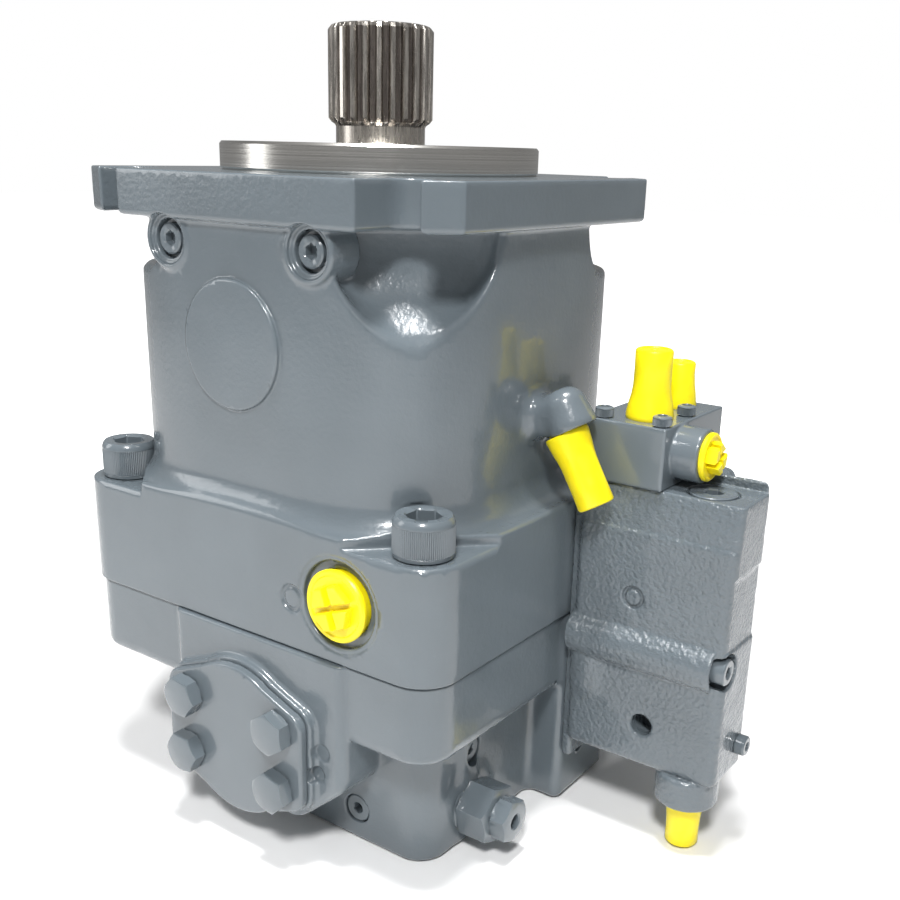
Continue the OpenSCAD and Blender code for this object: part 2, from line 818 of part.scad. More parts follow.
module pilot_block() {
  x1 = pilot_x0 + pilot_w;
  color(enamel) difference() {
    union() {
      translate([pilot_x0, valve_y + 1, valve_top + slack])
        cube([pilot_w, pilot_len, pilot_top - valve_top - slack]);
      translate([x1 - 1, nose_y, nose_z]) along_x() cylinder(r = nose_r, h = 14);
    }
    translate([x1 - 24, nose_y, nose_z]) along_x() cylinder(r = nose_bore_r + eps, h = 60);
    for (c = [cap_1, cap_2]) translate([c[0], c[1], pilot_top - 10]) cylinder(r = 5, h = 12);
    pilot_screw_places() translate([0, 0, -20]) cylinder(r = pilot_screw_r, h = 22);
  }
}

module pilot_screw_places() {
  for (p = [[124, 12], [153, 12], [152, 40], [124, 66]]) translate([p[0], p[1], pilot_top]) children();
}

module pilot_screws() {
  head_r = 4.3;
  color(steel) pilot_screw_places() translate([0, 0, slack])
    socket_screw(head_r, 5, pilot_screw_r - slack, 16, 4);
}

// Pressure setting screw inside the nose of the pilot valve
module adjusting_screw() {
  color(steel) translate([pilot_x0 + pilot_w - 4, nose_y, nose_z]) along_x() difference() {
    cylinder(r = nose_bore_r, h = 12);
    translate([0, 0, 6]) hex(6, 10);
  }
}

module spring_seat() {
  color(steel) translate([pilot_x0 + pilot_w - 14, nose_y, nose_z]) along_x()
    cylinder(r = nose_bore_r, h = 6);
}

// ---------- yellow transport caps ----------

// Flared push-on cap standing on z = 0
module flared_cap(r, flare_r, h) {
  flare_h = 12;
  rotate_extrude() polygon([[0, 0], [flare_r, 0], [flare_r, 1.2], [r, flare_h],
                            [r - 0.6, h - 1], [r - 1.6, h], [0, h]]);
}

module tube_caps() {
  color(plastic) {
    translate([cap_1[0], cap_1[1], pilot_top + slack]) flared_cap(8.6, 11, 32);
    translate([cap_2[0], cap_2[1], pilot_top + slack]) flared_cap(7.2, 9, 22);
  }
}

module nose_cap() {
  color(plastic) translate([pilot_x0 + pilot_w + 13 + slack, nose_y, nose_z]) along_x() {
    cylinder(r = 11.4, h = 2.4);
    cylinder(r = 9, h = 5);
    for (a = [0, 90]) rotate(a) translate([-8, -2, 4]) cube([16, 4, 3]);
  }
}

module bottom_cap() {
  foot_gap = 1;
  color(plastic) translate([bottom_cap_x, bottom_cap_y, floor_z + foot_gap])
    cylinder(r = 8.4, h = valve_top - valve_h - bottom_boss_h - floor_z - foot_gap - slack);
}

// Bleed port: its axis points down and outwards from the +X side of the housing
module bleed_axis() {
  bleed_foot = [113, -6, -107];
  bleed_lean = 150;
  translate(bleed_foot) rotate([0, bleed_lean, 0]) children();
}

module bleed_cap() {
  color(plastic) bleed_axis() {
    translate([0, 0, -4]) cylinder(r = 6 - slack, h = 8);
    translate([0, 0, bleed_face_z + slack]) flared_cap(8.6, 10.3, 36);
  }
}

housing();
port_plate();
joint_seal();
shaft_seal();
seal_snap_ring();
drive_shaft();
front_bearing_cup();
front_bearing_cone();
front_bearing_rollers();
rear_bearing_cup();
rear_bearing_cone();
rear_bearing_rollers();
cylinder_block();
valve_plate();
guide_ball();
block_spring();
swashplate();
cradle_shells();
retaining_plate();
piston_1();
piston_2();
piston_3();
piston_4();
piston_5();
piston_6();
piston_7();
piston_8();
piston_9();
slipper_1();
slipper_2();
slipper_3();
slipper_4();
slipper_5();
slipper_6();
slipper_7();
slipper_8();
slipper_9();
stroking_piston();
counter_piston();
counter_spring();
casing_screws();
housing_plugs();
drain_plug();
port_cover();
port_cover_bolts();
port_plate_plugs();
relief_valve();
valve_body();
control_spool();
spool_spring();
pressure_spool();
valve_plugs();
pilot_block();
pilot_screws();
adjusting_screw();
spring_seat();
tube_caps();
nose_cap();
bottom_cap();
bleed_cap();
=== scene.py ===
import math

import bpy
import numpy as np
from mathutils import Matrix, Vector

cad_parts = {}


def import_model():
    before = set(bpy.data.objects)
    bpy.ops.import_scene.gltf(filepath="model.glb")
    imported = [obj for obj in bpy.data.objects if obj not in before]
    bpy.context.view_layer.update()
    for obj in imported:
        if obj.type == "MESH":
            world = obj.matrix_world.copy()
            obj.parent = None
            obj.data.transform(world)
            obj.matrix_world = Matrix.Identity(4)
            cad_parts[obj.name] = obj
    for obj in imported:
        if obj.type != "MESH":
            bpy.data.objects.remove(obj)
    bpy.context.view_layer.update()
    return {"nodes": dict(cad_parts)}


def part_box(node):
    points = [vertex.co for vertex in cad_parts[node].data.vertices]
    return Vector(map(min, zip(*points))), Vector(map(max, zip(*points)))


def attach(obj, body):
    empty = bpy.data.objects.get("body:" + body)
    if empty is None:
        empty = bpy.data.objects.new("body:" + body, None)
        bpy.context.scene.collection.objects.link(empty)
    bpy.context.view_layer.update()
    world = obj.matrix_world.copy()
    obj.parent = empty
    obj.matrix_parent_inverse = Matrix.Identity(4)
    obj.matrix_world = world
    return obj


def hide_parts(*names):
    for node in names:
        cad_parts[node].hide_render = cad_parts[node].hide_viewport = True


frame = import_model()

import openvdb as vdb
from mathutils import Matrix, Vector

MM = 0.001
TAU = 2 * math.pi


# ---------------------------------------------------------------- places, all in millimetres

def box(name):
    """Lowest and highest corner of a CAD node."""
    lo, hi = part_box(name)
    return np.array(lo) / MM, np.array(hi) / MM


def mid(name):
    lo, hi = box(name)
    return (lo + hi) / 2


HOUSING_LO, HOUSING_HI = box("housing")
_, SCREW_HI = box("casing_screws")
JOINT_Z = HOUSING_LO[2]
FLOOR_Z = box("port_plate")[0][2]
PILOT_H = HOUSING_HI[2]
SCREW_HEAD_R, SCREW_HEAD_H = 13.5, 18.0
SCREW_X, SCREW_Y = SCREW_HI[0] - SCREW_HEAD_R, SCREW_HI[1] - SCREW_HEAD_R
SEAT_Z = SCREW_HI[2] - SCREW_HEAD_H
FOOT_X, FOOT_Y = 113.0, HOUSING_HI[1]
PANEL = 98.0
PANEL_PLUG_X, PANEL_PLUG_Z = 42.5, -29.5
# radius of the body's corners round the shaft axis
BODY_R = 114.0
FLANGE_X, FLANGE_Y, FLANGE_T = 105.0, 102.0, 20.4
# half the distance between two flange bolts, and half the width of their slots
BOLT, SLOT_R = 80.8, 10.3
SUCTION_Z = -266.0
COVER_BOLT_X, COVER_BOLT_Z = 29.35, 15.1
VALVE_X, VALVE_Y, VALVE_TOP = FOOT_X + 4.3, 6.0, -133.0
SPOOL_X, SPOOL_Y = VALVE_X + 58.8, 23.0
# oil gallery that shows as a ridge on the valve
RIDGE_Y, RIDGE_Z = VALVE_Y + 5, -212.0
PILOT_TOP = -104.0
BLEED_FOOT = np.array((113.0, -6.0, -107.0))
BLEED_LEAN = math.radians(30)
BLEED_AXIS = np.array((math.sin(BLEED_LEAN), 0, -math.cos(BLEED_LEAN)))
BLEED_ACROSS = np.array((-BLEED_AXIS[2], 0, BLEED_AXIS[0]))
QUARTERS = [(sx, sy) for sx in (-1, 1) for sy in (-1, 1)]


def grid_step(full):
    return full


# ---------------------------------------------------------------- distance fields

def length(*v):
    return np.sqrt(sum(c * c for c in v))


def join(a, b, r=0.0):
    """Union of two distances, with a fillet of radius r."""
    if r <= 0:
        return np.minimum(a, b)
    return np.maximum(r, np.minimum(a, b)) - length(np.maximum(r - a, 0), np.maximum(r - b, 0))


def meet(a, b, r=0.0):
    """What two distances have in common, with an edge of radius r."""
    return -join(-a, -b, r)


def slab(v, lo, hi):
    return np.maximum(lo - v, v - hi)


def rect(x, y, hx, hy, r=0.0):
    qx, qy = np.abs(x) - (hx - r), np.abs(y) - (hy - r)
    return length(np.maximum(qx, 0), np.maximum(qy, 0)) + np.minimum(np.maximum(qx, qy), 0) - r


def block(x, y, z, lo, hi, r=0.0):
    c, h = (np.array(lo) + hi) / 2, (np.array(hi) - lo) / 2
    qx, qy, qz = (np.abs(v - m) - (s - r) for v, m, s in zip((x, y, z), c, h))
    return (length(np.maximum(qx, 0), np.maximum(qy, 0), np.maximum(qz, 0))
            + np.minimum(np.maximum(np.maximum(qx, qy), qz), 0) - r)


def rod(x, y, z, start, axis, radius, reach, r=0.0, end_radius=None):
    """Cylinder, or cone if end_radius is given, from start along axis."""
    a = np.array(axis, float) / np.linalg.norm(axis)
    px, py, pz = x - start[0], y - start[1], z - start[2]
    t = px * a[0] + py * a[1] + pz * a[2]
    rho = np.sqrt(np.maximum(px * px + py * py + pz * pz - t * t, 0))
    if end_radius is not None:
        slope = (end_radius - radius) / reach
        side = (rho - radius - slope * t) / math.sqrt(1 + slope * slope)
    else:
        side = rho - radius
    return meet(side, slab(t, 0, reach), r)


def polygon(x, y, points):
    """Signed distance to a closed outline."""
    best = np.full(np.broadcast(x, y).shape, 1e9, np.float32)
    inside = np.zeros(best.shape, bool)
    n = len(points)
    for i in range(n):
        ax, ay = points[i]
        bx, by = points[(i + 1) % n]
        ex, ey = bx - ax, by - ay
        t = np.clip(((x - ax) * ex + (y - ay) * ey) / (ex * ex + ey * ey), 0, 1)
        best = np.minimum(best, (x - ax - t * ex) ** 2 + (y - ay - t * ey) ** 2)
        if ay != by:
            crosses = ((y >= ay) != (y >= by)) & (x < ax + (y - ay) * ex / ey)
            inside ^= crosses
    return np.where(inside, -1, 1) * np.sqrt(best)


# brings the spread of the splined random values back to about one
BUMP_GAIN = 2.2


class Field:
    """A solid as signed distances on a regular grid, negative inside."""

    def __init__(self, lo, hi, step):
        self.step = step
        self.lo = np.floor(np.array(lo, float) / step) * step - 4.5 * step
        self.n = np.ceil((np.array(hi) - self.lo) / step).astype(int) + 4
        self.d = np.full(self.n, 60, np.float32)

    def coords(self, part):
        out = []
        for i in range(3):
            v = (self.lo[i] + self.step * np.arange(part[i].start, part[i].stop)).astype(np.float32)
            shape = [1, 1, 1]
            shape[i] = -1
            out.append(v.reshape(shape))
        return out

    def part(self, lo, hi):
        a = np.clip(np.floor((np.array(lo) - self.lo) / self.step).astype(int), 0, self.n)
        b = np.clip(np.ceil((np.array(hi) - self.lo) / self.step).astype(int) + 1, 0, self.n)
        return tuple(slice(int(p), int(q)) for p, q in zip(a, b))

    def work(self, how, shape, lo, hi, r=0.0):
        """Joins or cuts shape(x, y, z), whose solid lies between corners lo and hi."""
        pad = 4 * self.step + r
        part = self.part(np.array(lo) - pad, np.array(hi) + pad)
        x, y, z = self.coords(part)
        old = self.d[part]
        new = shape(x, y, z)
        self.d[part] = join(old, new, r) if how == "add" else meet(old, -new, r)

    def add(self, shape, lo, hi, r=0.0):
        self.work("add", shape, lo, hi, r)

    def cut(self, shape, lo, hi, r=0.0):
        self.work("cut", shape, lo, hi, r)

    def block(self, how, lo, hi, round_edges=0.0, r=0.0):
        self.work(how, lambda x, y, z: block(x, y, z, lo, hi, round_edges), lo, hi, r)

    def rod(self, how, start, axis, radius, reach, round_edges=0.0, r=0.0, end_radius=None):
        a = np.array(axis, float) / np.linalg.norm(axis)
        big = max(radius, end_radius or 0)
        ends = np.array([start, np.array(start) + a * reach])
        self.work(how, lambda x, y, z: rod(x, y, z, start, a, radius, reach, round_edges, end_radius),
                  ends.min(0) - big, ends.max(0) + big, r)

    def roughen(self, grain, depth, seed):
        """Adds the low bumps of a sand casting: random values on a coarse grid, joined by B-splines."""
        rng = np.random.default_rng(seed)
        weights, counts = [], []
        for size in self.d.shape:
            u = np.arange(size) * self.step / grain
            cells = int(u[-1]) + 4
            base = u.astype(int)
            f = (u - base)[:, None]
            w = np.zeros((size, cells), np.float32)
            spline = np.hstack([(1 - f) ** 3, 3 * f ** 3 - 6 * f ** 2 + 4,
                                -3 * f ** 3 + 3 * f ** 2 + 3 * f + 1, f ** 3]) / 6
            for k in range(4):
                w[np.arange(size), base + k] = spline[:, k]
            weights.append(w)
            counts.append(cells)
        v = rng.standard_normal(counts).astype(np.float32)
        v = np.tensordot(weights[0], v, (1, 0))
        v = np.moveaxis(np.tensordot(weights[1], v, (1, 1)), 0, 1)
        v = np.moveaxis(np.tensordot(weights[2], v, (1, 2)), 0, 2)
        self.d += depth * BUMP_GAIN * v

    def sample(self, p):
        """Distances at the points p, interpolated."""
        q = (p - self.lo) / self.step
        i = np.clip(np.floor(q).astype(int), 0, self.n - 2)
        f = (q - i).astype(np.float32)
        out = np.zeros(len(p), np.float32)
        for dx, dy, dz in np.ndindex(2, 2, 2):
            w = ((f[:, 0] if dx else 1 - f[:, 0]) * (f[:, 1] if dy else 1 - f[:, 1])
                 * (f[:, 2] if dz else 1 - f[:, 2]))
            out += w * self.d[i[:, 0] + dx, i[:, 1] + dy, i[:, 2] + dz]
        return out

    def mesh(self, name, adaptivity=0.02):
        """Polygon mesh of the surface, with the field's own normals."""
        band = 3 * self.step
        grid = vdb.FloatGrid(band)
        grid.copyFromArray(np.clip(self.d, -band, band))
        points, tris, quads = grid.convertToPolygons(isovalue=0.0, adaptivity=adaptivity)
        p = points.astype(float) * self.step + self.lo
        h = 0.5 * self.step
        normal = np.stack([self.sample(p + h * e) - self.sample(p - h * e) for e in np.eye(3)], 1)
        normal /= np.maximum(np.linalg.norm(normal, axis=1, keepdims=True), 1e-9)
        loops = np.concatenate([quads.ravel(), tris.ravel()]).astype(np.int32)
        sizes = np.concatenate([np.full(len(quads), 4), np.full(len(tris), 3)]).astype(np.int32)
        starts = np.concatenate([[0], np.cumsum(sizes)[:-1]]).astype(np.int32)
        mesh = bpy.data.meshes.new(name)
        mesh.vertices.add(len(p))
        mesh.vertices.foreach_set("co", (p * MM).astype(np.float32).ravel())
        mesh.loops.add(len(loops))
        mesh.loops.foreach_set("vertex_index", loops)
        mesh.polygons.add(len(sizes))
        mesh.polygons.foreach_set("loop_start", starts)
        mesh.polygons.foreach_set("loop_total", sizes)
        mesh.update(calc_edges=True)
        face_normal = np.zeros(len(sizes) * 3, np.float32)
        mesh.polygons.foreach_get("normal", face_normal)
        first = loops[starts]
        if (face_normal.reshape(-1, 3) * normal[first]).sum() < 0:
            mesh.flip_normals()
        mesh.validate()
        mesh.polygons.foreach_set("use_smooth", np.ones(len(mesh.polygons), bool))
        mesh.normals_split_custom_set_from_vertices(normal)
        obj = bpy.data.objects.new(name, mesh)
        bpy.context.scene.collection.objects.link(obj)
        return obj


# ---------------------------------------------------------------- turned and hexagonal pieces

KNURL_DEPTH = 0.34


class Shape:
    """Collects rings of points into one mesh."""

    def __init__(self, name):
        self.name, self.v, self.f, self.count = name, [], [], 0

    def rings(self, rings, at=(0, 0, 0), axis=(0, 0, 1), spin=0.0, closed=False):
        """Skins a list of (n, 3) rings, capped at both ends unless closed."""
        n = len(rings[0])
        z = Vector(axis).normalized()
        turn = z.to_track_quat("Z", "Y").to_matrix() @ Matrix.Rotation(spin, 3, "Z")
        m = np.array(turn)
        for ring in rings:
            self.v.append(np.asarray(ring) @ m.T + np.array(at))
        base = self.count
        j = np.arange(n)
        k = (j + 1) % n
        pairs = list(zip(range(len(rings) - 1), range(1, len(rings))))
        if closed:
            pairs.append((len(rings) - 1, 0))
        for a, b in pairs:
            quads = np.stack([base + a * n + j, base + a * n + k, base + b * n + k, base + b * n + j], 1)
            self.f.extend(quads.tolist())
        if not closed:
            self.f.append((base + j[::-1]).tolist())
            self.f.append((base + (len(rings) - 1) * n + j).tolist())
        self.count += n * len(rings)

    def lathe(self, profile, at=(0, 0, 0), axis=(0, 0, 1), n=96, spin=0.0, closed=False):
        """profile holds (kind, size, z) from the bottom outward and up. The kinds are c (circle), hex, knurl
        and crown (a hexagon whose corners are turned off at 30 degrees)."""
        angle = np.arange(n) * TAU / n
        from_flat = (angle + TAU / 12) % (TAU / 6) - TAU / 12
        rings = []
        for kind, size, z in profile:
            radius = np.full(n, float(size))
            height = np.full(n, float(z))
            if kind == "hex":
                radius = size / np.cos(from_flat)
            elif kind == "knurl":
                radius = size - KNURL_DEPTH * (np.arange(n) % 2)
            elif kind == "crown":
                radius = size / np.cos(from_flat)
                height = z - np.maximum(radius - size, 0) * math.tan(TAU / 12)
            rings.append(np.stack([radius * np.cos(angle), radius * np.sin(angle), height], 1))
        self.rings(rings, at, axis, spin, closed)

    def prism(self, outline, z0, z1, bevel=0.0, at=(0, 0, 0), axis=(0, 0, 1), spin=0.0):
        """Extruded outline with a bevel at its top edge."""
        o = np.array(outline, float)
        centre = o.mean(0)
        reach = np.maximum(np.linalg.norm(o - centre, axis=1, keepdims=True), 1e-6)
        small = centre + (o - centre) * (1 - bevel / reach)
        rings = [np.column_stack([points, np.full(len(o), z)])
                 for points, z in ((o, z0), (o, z1 - bevel), (small, z1))]
        self.rings(rings, at, axis, spin)

    def build(self, sharp=32):
        """Makes the object; edges over sharp degrees are shown as edges."""
        mesh = bpy.data.meshes.new(self.name)
        verts = np.concatenate(self.v) * MM
        mesh.from_pydata(verts.tolist(), [], self.f)
        mesh.update()
        mesh.polygons.foreach_set("use_smooth", np.ones(len(mesh.polygons), bool))
        mesh.set_sharp_from_angle(angle=math.radians(sharp))
        obj = bpy.data.objects.new(self.name, mesh)
        bpy.context.scene.collection.objects.link(obj)
        return obj


# ---------------------------------------------------------------- materials

def node_material(name):
    """A new material, its node tree and its shader."""
    m = bpy.data.materials.new(name)
    m.use_nodes = True
    t = m.node_tree
    return m, t, t.nodes["Principled BSDF"]


def link(t, a, out, b, inp):
    t.links.new(a.outputs[out], b.inputs[inp])


def turned(t, coord):
    """Coordinates that follow the marks of a lathe: distance from the Z axis, and height."""
    flat = t.nodes.new("ShaderNodeVectorMath")
    flat.operation = "MULTIPLY"
    flat.inputs[1].default_value = (1, 1, 0)
    link(t, coord, "Object", flat, 0)
    radius = t.nodes.new("ShaderNodeVectorMath")
    radius.operation = "LENGTH"
    link(t, flat, "Vector", radius, 0)
    split = t.nodes.new("ShaderNodeSeparateXYZ")
    link(t, coord, "Object", split, "Vector")
    return radius, split


def noise(t, coord, scale, detail=2.0, rough=0.5, stretch=None):
    n = t.nodes.new("ShaderNodeTexNoise")
    n.inputs["Scale"].default_value = scale
    n.inputs["Detail"].default_value = detail
    n.inputs["Roughness"].default_value = rough
    if stretch is not None:
        mapping = t.nodes.new("ShaderNodeMapping")
        mapping.inputs["Scale"].default_value = stretch
        link(t, coord, "Object", mapping, "Vector")
        link(t, mapping, "Vector", n, "Vector")
    else:
        link(t, coord, "Object", n, "Vector")
    return n


def ramp(t, source, out, stops):
    r = t.nodes.new("ShaderNodeValToRGB")
    link(t, source, out, r, "Fac")
    while len(r.color_ramp.elements) < len(stops):
        r.color_ramp.elements.new(0.5)
    for e, (pos, colour) in zip(r.color_ramp.elements, stops):
        e.position = pos
        e.color = (*colour, 1)
    return r


def grey(v):
    return (v, v, v)


def bump(t, source, out, strength, distance, after=None):
    b = t.nodes.new("ShaderNodeBump")
    b.inputs["Strength"].default_value = strength
    b.inputs["Distance"].default_value = distance
    link(t, source, out, b, "Height")
    if after is not None:
        link(t, after, "Normal", b, "Normal")
    return b


def finish(t, bsdf, colour=None, rough=None, normal=None):
    if colour is not None:
        link(t, colour, "Color", bsdf, "Base Color")
    if rough is not None:
        link(t, rough, "Color", bsdf, "Roughness")
    if normal is not None:
        link(t, normal, "Normal", bsdf, "Normal")


PAINT = np.array((0.111, 0.133, 0.149))
# height of the orange peel in the paint, in metres
PEEL = 0.00007


def enamel(name, grain, depth):
    """Sprayed blue-grey enamel, over a casting (grain in 1/m, depth in m) or a machined face (depth 0)."""
    m, t, bsdf = node_material(name)
    coord = t.nodes.new("ShaderNodeTexCoord")
    cloud = noise(t, coord, 22, 2)
    colour = ramp(t, cloud, "Fac", [(0.3, PAINT * 0.95), (0.7, PAINT * 1.06)])
    wet = noise(t, coord, 30, 1)
    rough = ramp(t, wet, "Fac", [(0.3, grey(0.20)), (0.7, grey(0.27))])
    fine = noise(t, coord, 1000, 1)
    normal = bump(t, fine, "Fac", 0.35, PEEL)
    if depth > 0:
        cast = noise(t, coord, grain, 2, 0.5)
        normal = bump(t, cast, "Fac", 0.85, depth, normal)
    finish(t, bsdf, colour, rough, normal)
    bsdf.inputs["Coat Weight"].default_value = 0.5
    bsdf.inputs["Coat Roughness"].default_value = 0.07
    return m


def metal(name, colour, rough, grain, dark=0.75, depth=0.00002, stretch=None, rings=False):
    """Bare metal with a fine grain (1/m); with rings the grain follows the marks of a lathe."""
    m, t, bsdf = node_material(name)
    coord = t.nodes.new("ShaderNodeTexCoord")
    streak = noise(t, coord, grain, 3, 0.6, stretch)
    if rings:
        radius, split = turned(t, coord)
        marks = t.nodes.new("ShaderNodeCombineXYZ")
        link(t, radius, "Value", marks, "X")
        link(t, split, "Z", marks, "Z")
        t.links.new(marks.outputs["Vector"], streak.inputs["Vector"])
    c = np.array(colour)
    tint = ramp(t, streak, "Fac", [(0.3, c * dark), (0.7, c)])
    fuzz = ramp(t, streak, "Fac", [(0.25, grey(rough * 0.75)), (0.75, grey(rough * 1.35))])
    finish(t, bsdf, tint, fuzz, bump(t, streak, "Fac", 0.35, depth))
    bsdf.inputs["Metallic"].default_value = 1.0
    return m


def paint_groove_shade(m, inner, outer, low, high, shade):
    """Paints shade into a material's colour where the spline grooves lie in shade: darker from the radius
    outer in to inner, between the heights low and high (metres).
    """
    t = m.node_tree
    bsdf = t.nodes["Principled BSDF"]
    source = bsdf.inputs["Base Color"].links[0].from_socket
    radius, split = turned(t, t.nodes.new("ShaderNodeTexCoord"))
    span = t.nodes.new("ShaderNodeMapRange")
    span.inputs["From Min"].default_value = inner
    span.inputs["From Max"].default_value = outer
    link(t, radius, "Value", span, "Value")
    # COMPARE gives 1 within the height of the teeth
    within = t.nodes.new("ShaderNodeMath")
    within.operation = "COMPARE"
    within.inputs[1].default_value = (low + high) / 2
    within.inputs[2].default_value = (high - low) / 2
    link(t, split, "Z", within, 0)
    beyond = t.nodes.new("ShaderNodeMath")
    beyond.operation = "SUBTRACT"
    beyond.inputs[0].default_value = 1
    link(t, within, "Value", beyond, 1)
    bright = t.nodes.new("ShaderNodeMath")
    bright.operation = "MAXIMUM"
    link(t, span, "Result", bright, 0)
    link(t, beyond, "Value", bright, 1)
    mix = t.nodes.new("ShaderNodeMix")
    mix.data_type = "RGBA"
    mix.inputs["A"].default_value = (*shade, 1)
    link(t, bright, "Value", mix, "Factor")
    t.links.new(source, mix.inputs["B"])
    t.links.new(mix.outputs["Result"], bsdf.inputs["Base Color"])


def plastic(name, colour, rough):
    """Moulded plastic or rubber that lets a little light in."""
    m, t, bsdf = node_material(name)
    coord = t.nodes.new("ShaderNodeTexCoord")
    cloud = noise(t, coord, 180, 2)
    c = np.array(colour)
    tint = ramp(t, cloud, "Fac", [(0.3, c * 0.94), (0.7, np.minimum(c * 1.03, 1))])
    fuzz = ramp(t, cloud, "Fac", [(0.3, grey(rough * 0.85)), (0.7, grey(rough * 1.2))])
    finish(t, bsdf, tint, fuzz, bump(t, noise(t, coord, 700, 2), "Fac", 0.2, 0.00004))
    bsdf.inputs["Subsurface Weight"].default_value = 0.12
    bsdf.inputs["Subsurface Radius"].default_value = (0.006, 0.005, 0.001)
    return m


CAST = enamel("enamel_on_casting", 420, 0.0002)
ROUGH_CAST = enamel("enamel_on_rough_casting", 470, 0.0013)
SMOOTH = enamel("enamel_on_machined_face", 300, 0)
STEEL = metal("turned_steel", (0.80, 0.78, 0.74), 0.22, 1300, 0.7, 0.00006, rings=True)
SPLINE_STEEL = metal("splined_steel", (0.62, 0.58, 0.53), 0.26, 120, 0.6, stretch=(6, 6, 0.5))
# painted shade: the roots of the spline teeth get a darker colour where the grooves fall in shade
paint_groove_shade(SPLINE_STEEL, 0.0222, 0.0244, 0.0225, 0.0635, (0.17, 0.145, 0.13))
GROUND = metal("ground_steel", (0.66, 0.66, 0.65), 0.2, 300)
SPRING = metal("spring_steel", (0.34, 0.34, 0.35), 0.35, 200)
IRON = metal("machined_cast_iron", (0.38, 0.38, 0.37), 0.45, 500, 0.6)
BRONZE = metal("bearing_bronze", (0.72, 0.50, 0.26), 0.32, 220)
BLACK = metal("blackened_steel", (0.10, 0.10, 0.105), 0.42, 240)
YELLOW = plastic("yellow_polyethylene", (0.92, 0.76, 0.004), 0.36)
RUBBER = plastic("black_rubber", (0.012, 0.012, 0.013), 0.6)


def ship(obj, body, material, slot, *nodes):
    """Puts a piece on its body, in place of the CAD nodes that it shows."""
    obj.data.materials.append(material)
    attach(obj, body)
    if nodes:
        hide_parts(*nodes)
    return obj


def painted(obj, node, material=SMOOTH):
    return ship(obj, "casing", material, "blue_grey_enamel", node)


def yellow(obj, node):
    return ship(obj, "casing", YELLOW, "yellow_plastic", node)


def machined_top(obj, material, top):
    """Gives the faces that look up at the height top (mm) a material of their own."""
    mesh = obj.data
    mesh.materials.append(material)
    centre = np.empty(3 * len(mesh.polygons), np.float32)
    normal = np.empty_like(centre)
    mesh.polygons.foreach_get("center", centre)
    mesh.polygons.foreach_get("normal", normal)
    flat = (np.abs(centre[2::3] / MM - top) < 0.3) & (normal[2::3] > 0.9)
    mesh.polygons.foreach_set("material_index", flat.astype(np.int32))


# ---------------------------------------------------------------- housing casting

def body_outline(x, y):
    """Square with panels, its corners turned round."""
    return meet(rect(x, y, PANEL, PANEL), length(x, y) - BODY_R, 14)


def flange_outline(x, y):
    """Mounting flange with cut corners and four open bolt slots."""
    cx, cy, far = 74.5, 76.6, 88.7
    pts = [(-cx, -FLANGE_Y), (cx, -FLANGE_Y), (FLANGE_X, -cy), (FLANGE_X, cy),
           (cx, FLANGE_Y), (-cx, FLANGE_Y), (-FLANGE_X, far), (-FLANGE_X, -far)]
    plate = polygon(x, y, pts)
    ax, ay = np.abs(x), np.abs(y)
    slot = np.where(ay < BOLT, length(ax - BOLT, ay - BOLT), np.abs(ax - BOLT)) - SLOT_R
    return meet(plate, -slot, 1.2)


def plain_sides(f):
    """Cast pads of the -X side and a stiffening rib."""
    f.rod("add", (-90, 0, -70), (-1, 0, 0), 24, 9.6, 1.0, 0.8)
    f.block("add", (-100, -46, -138), (-96, 46, -112), 1.5, 2)


def pocket(x, y, z):
    """Scoop under a flange corner: back wall, sloping floor and two leaning sides."""
    ax, ay = np.abs(x), np.abs(y)
    out, side = (ax + ay) / math.sqrt(2), np.abs((ay - ax) / math.sqrt(2) + 4)
    back = 90 - out
    # flat and shallower over the two chambers that hold the ears of the swashplate
    floor = np.where(x * y > 0, -(z + 43), (-(z + 41.5) - 0.96 * (out - 90)) / 1.386)
    lean = (side - 38.5 - 0.29 * (z + FLANGE_T)) / 1.041
    skirt = (side - 16 - 1.1 * (z + 61)) / 1.487
    return meet(meet(back, floor, 9), meet(lean, skirt, 9), 8)


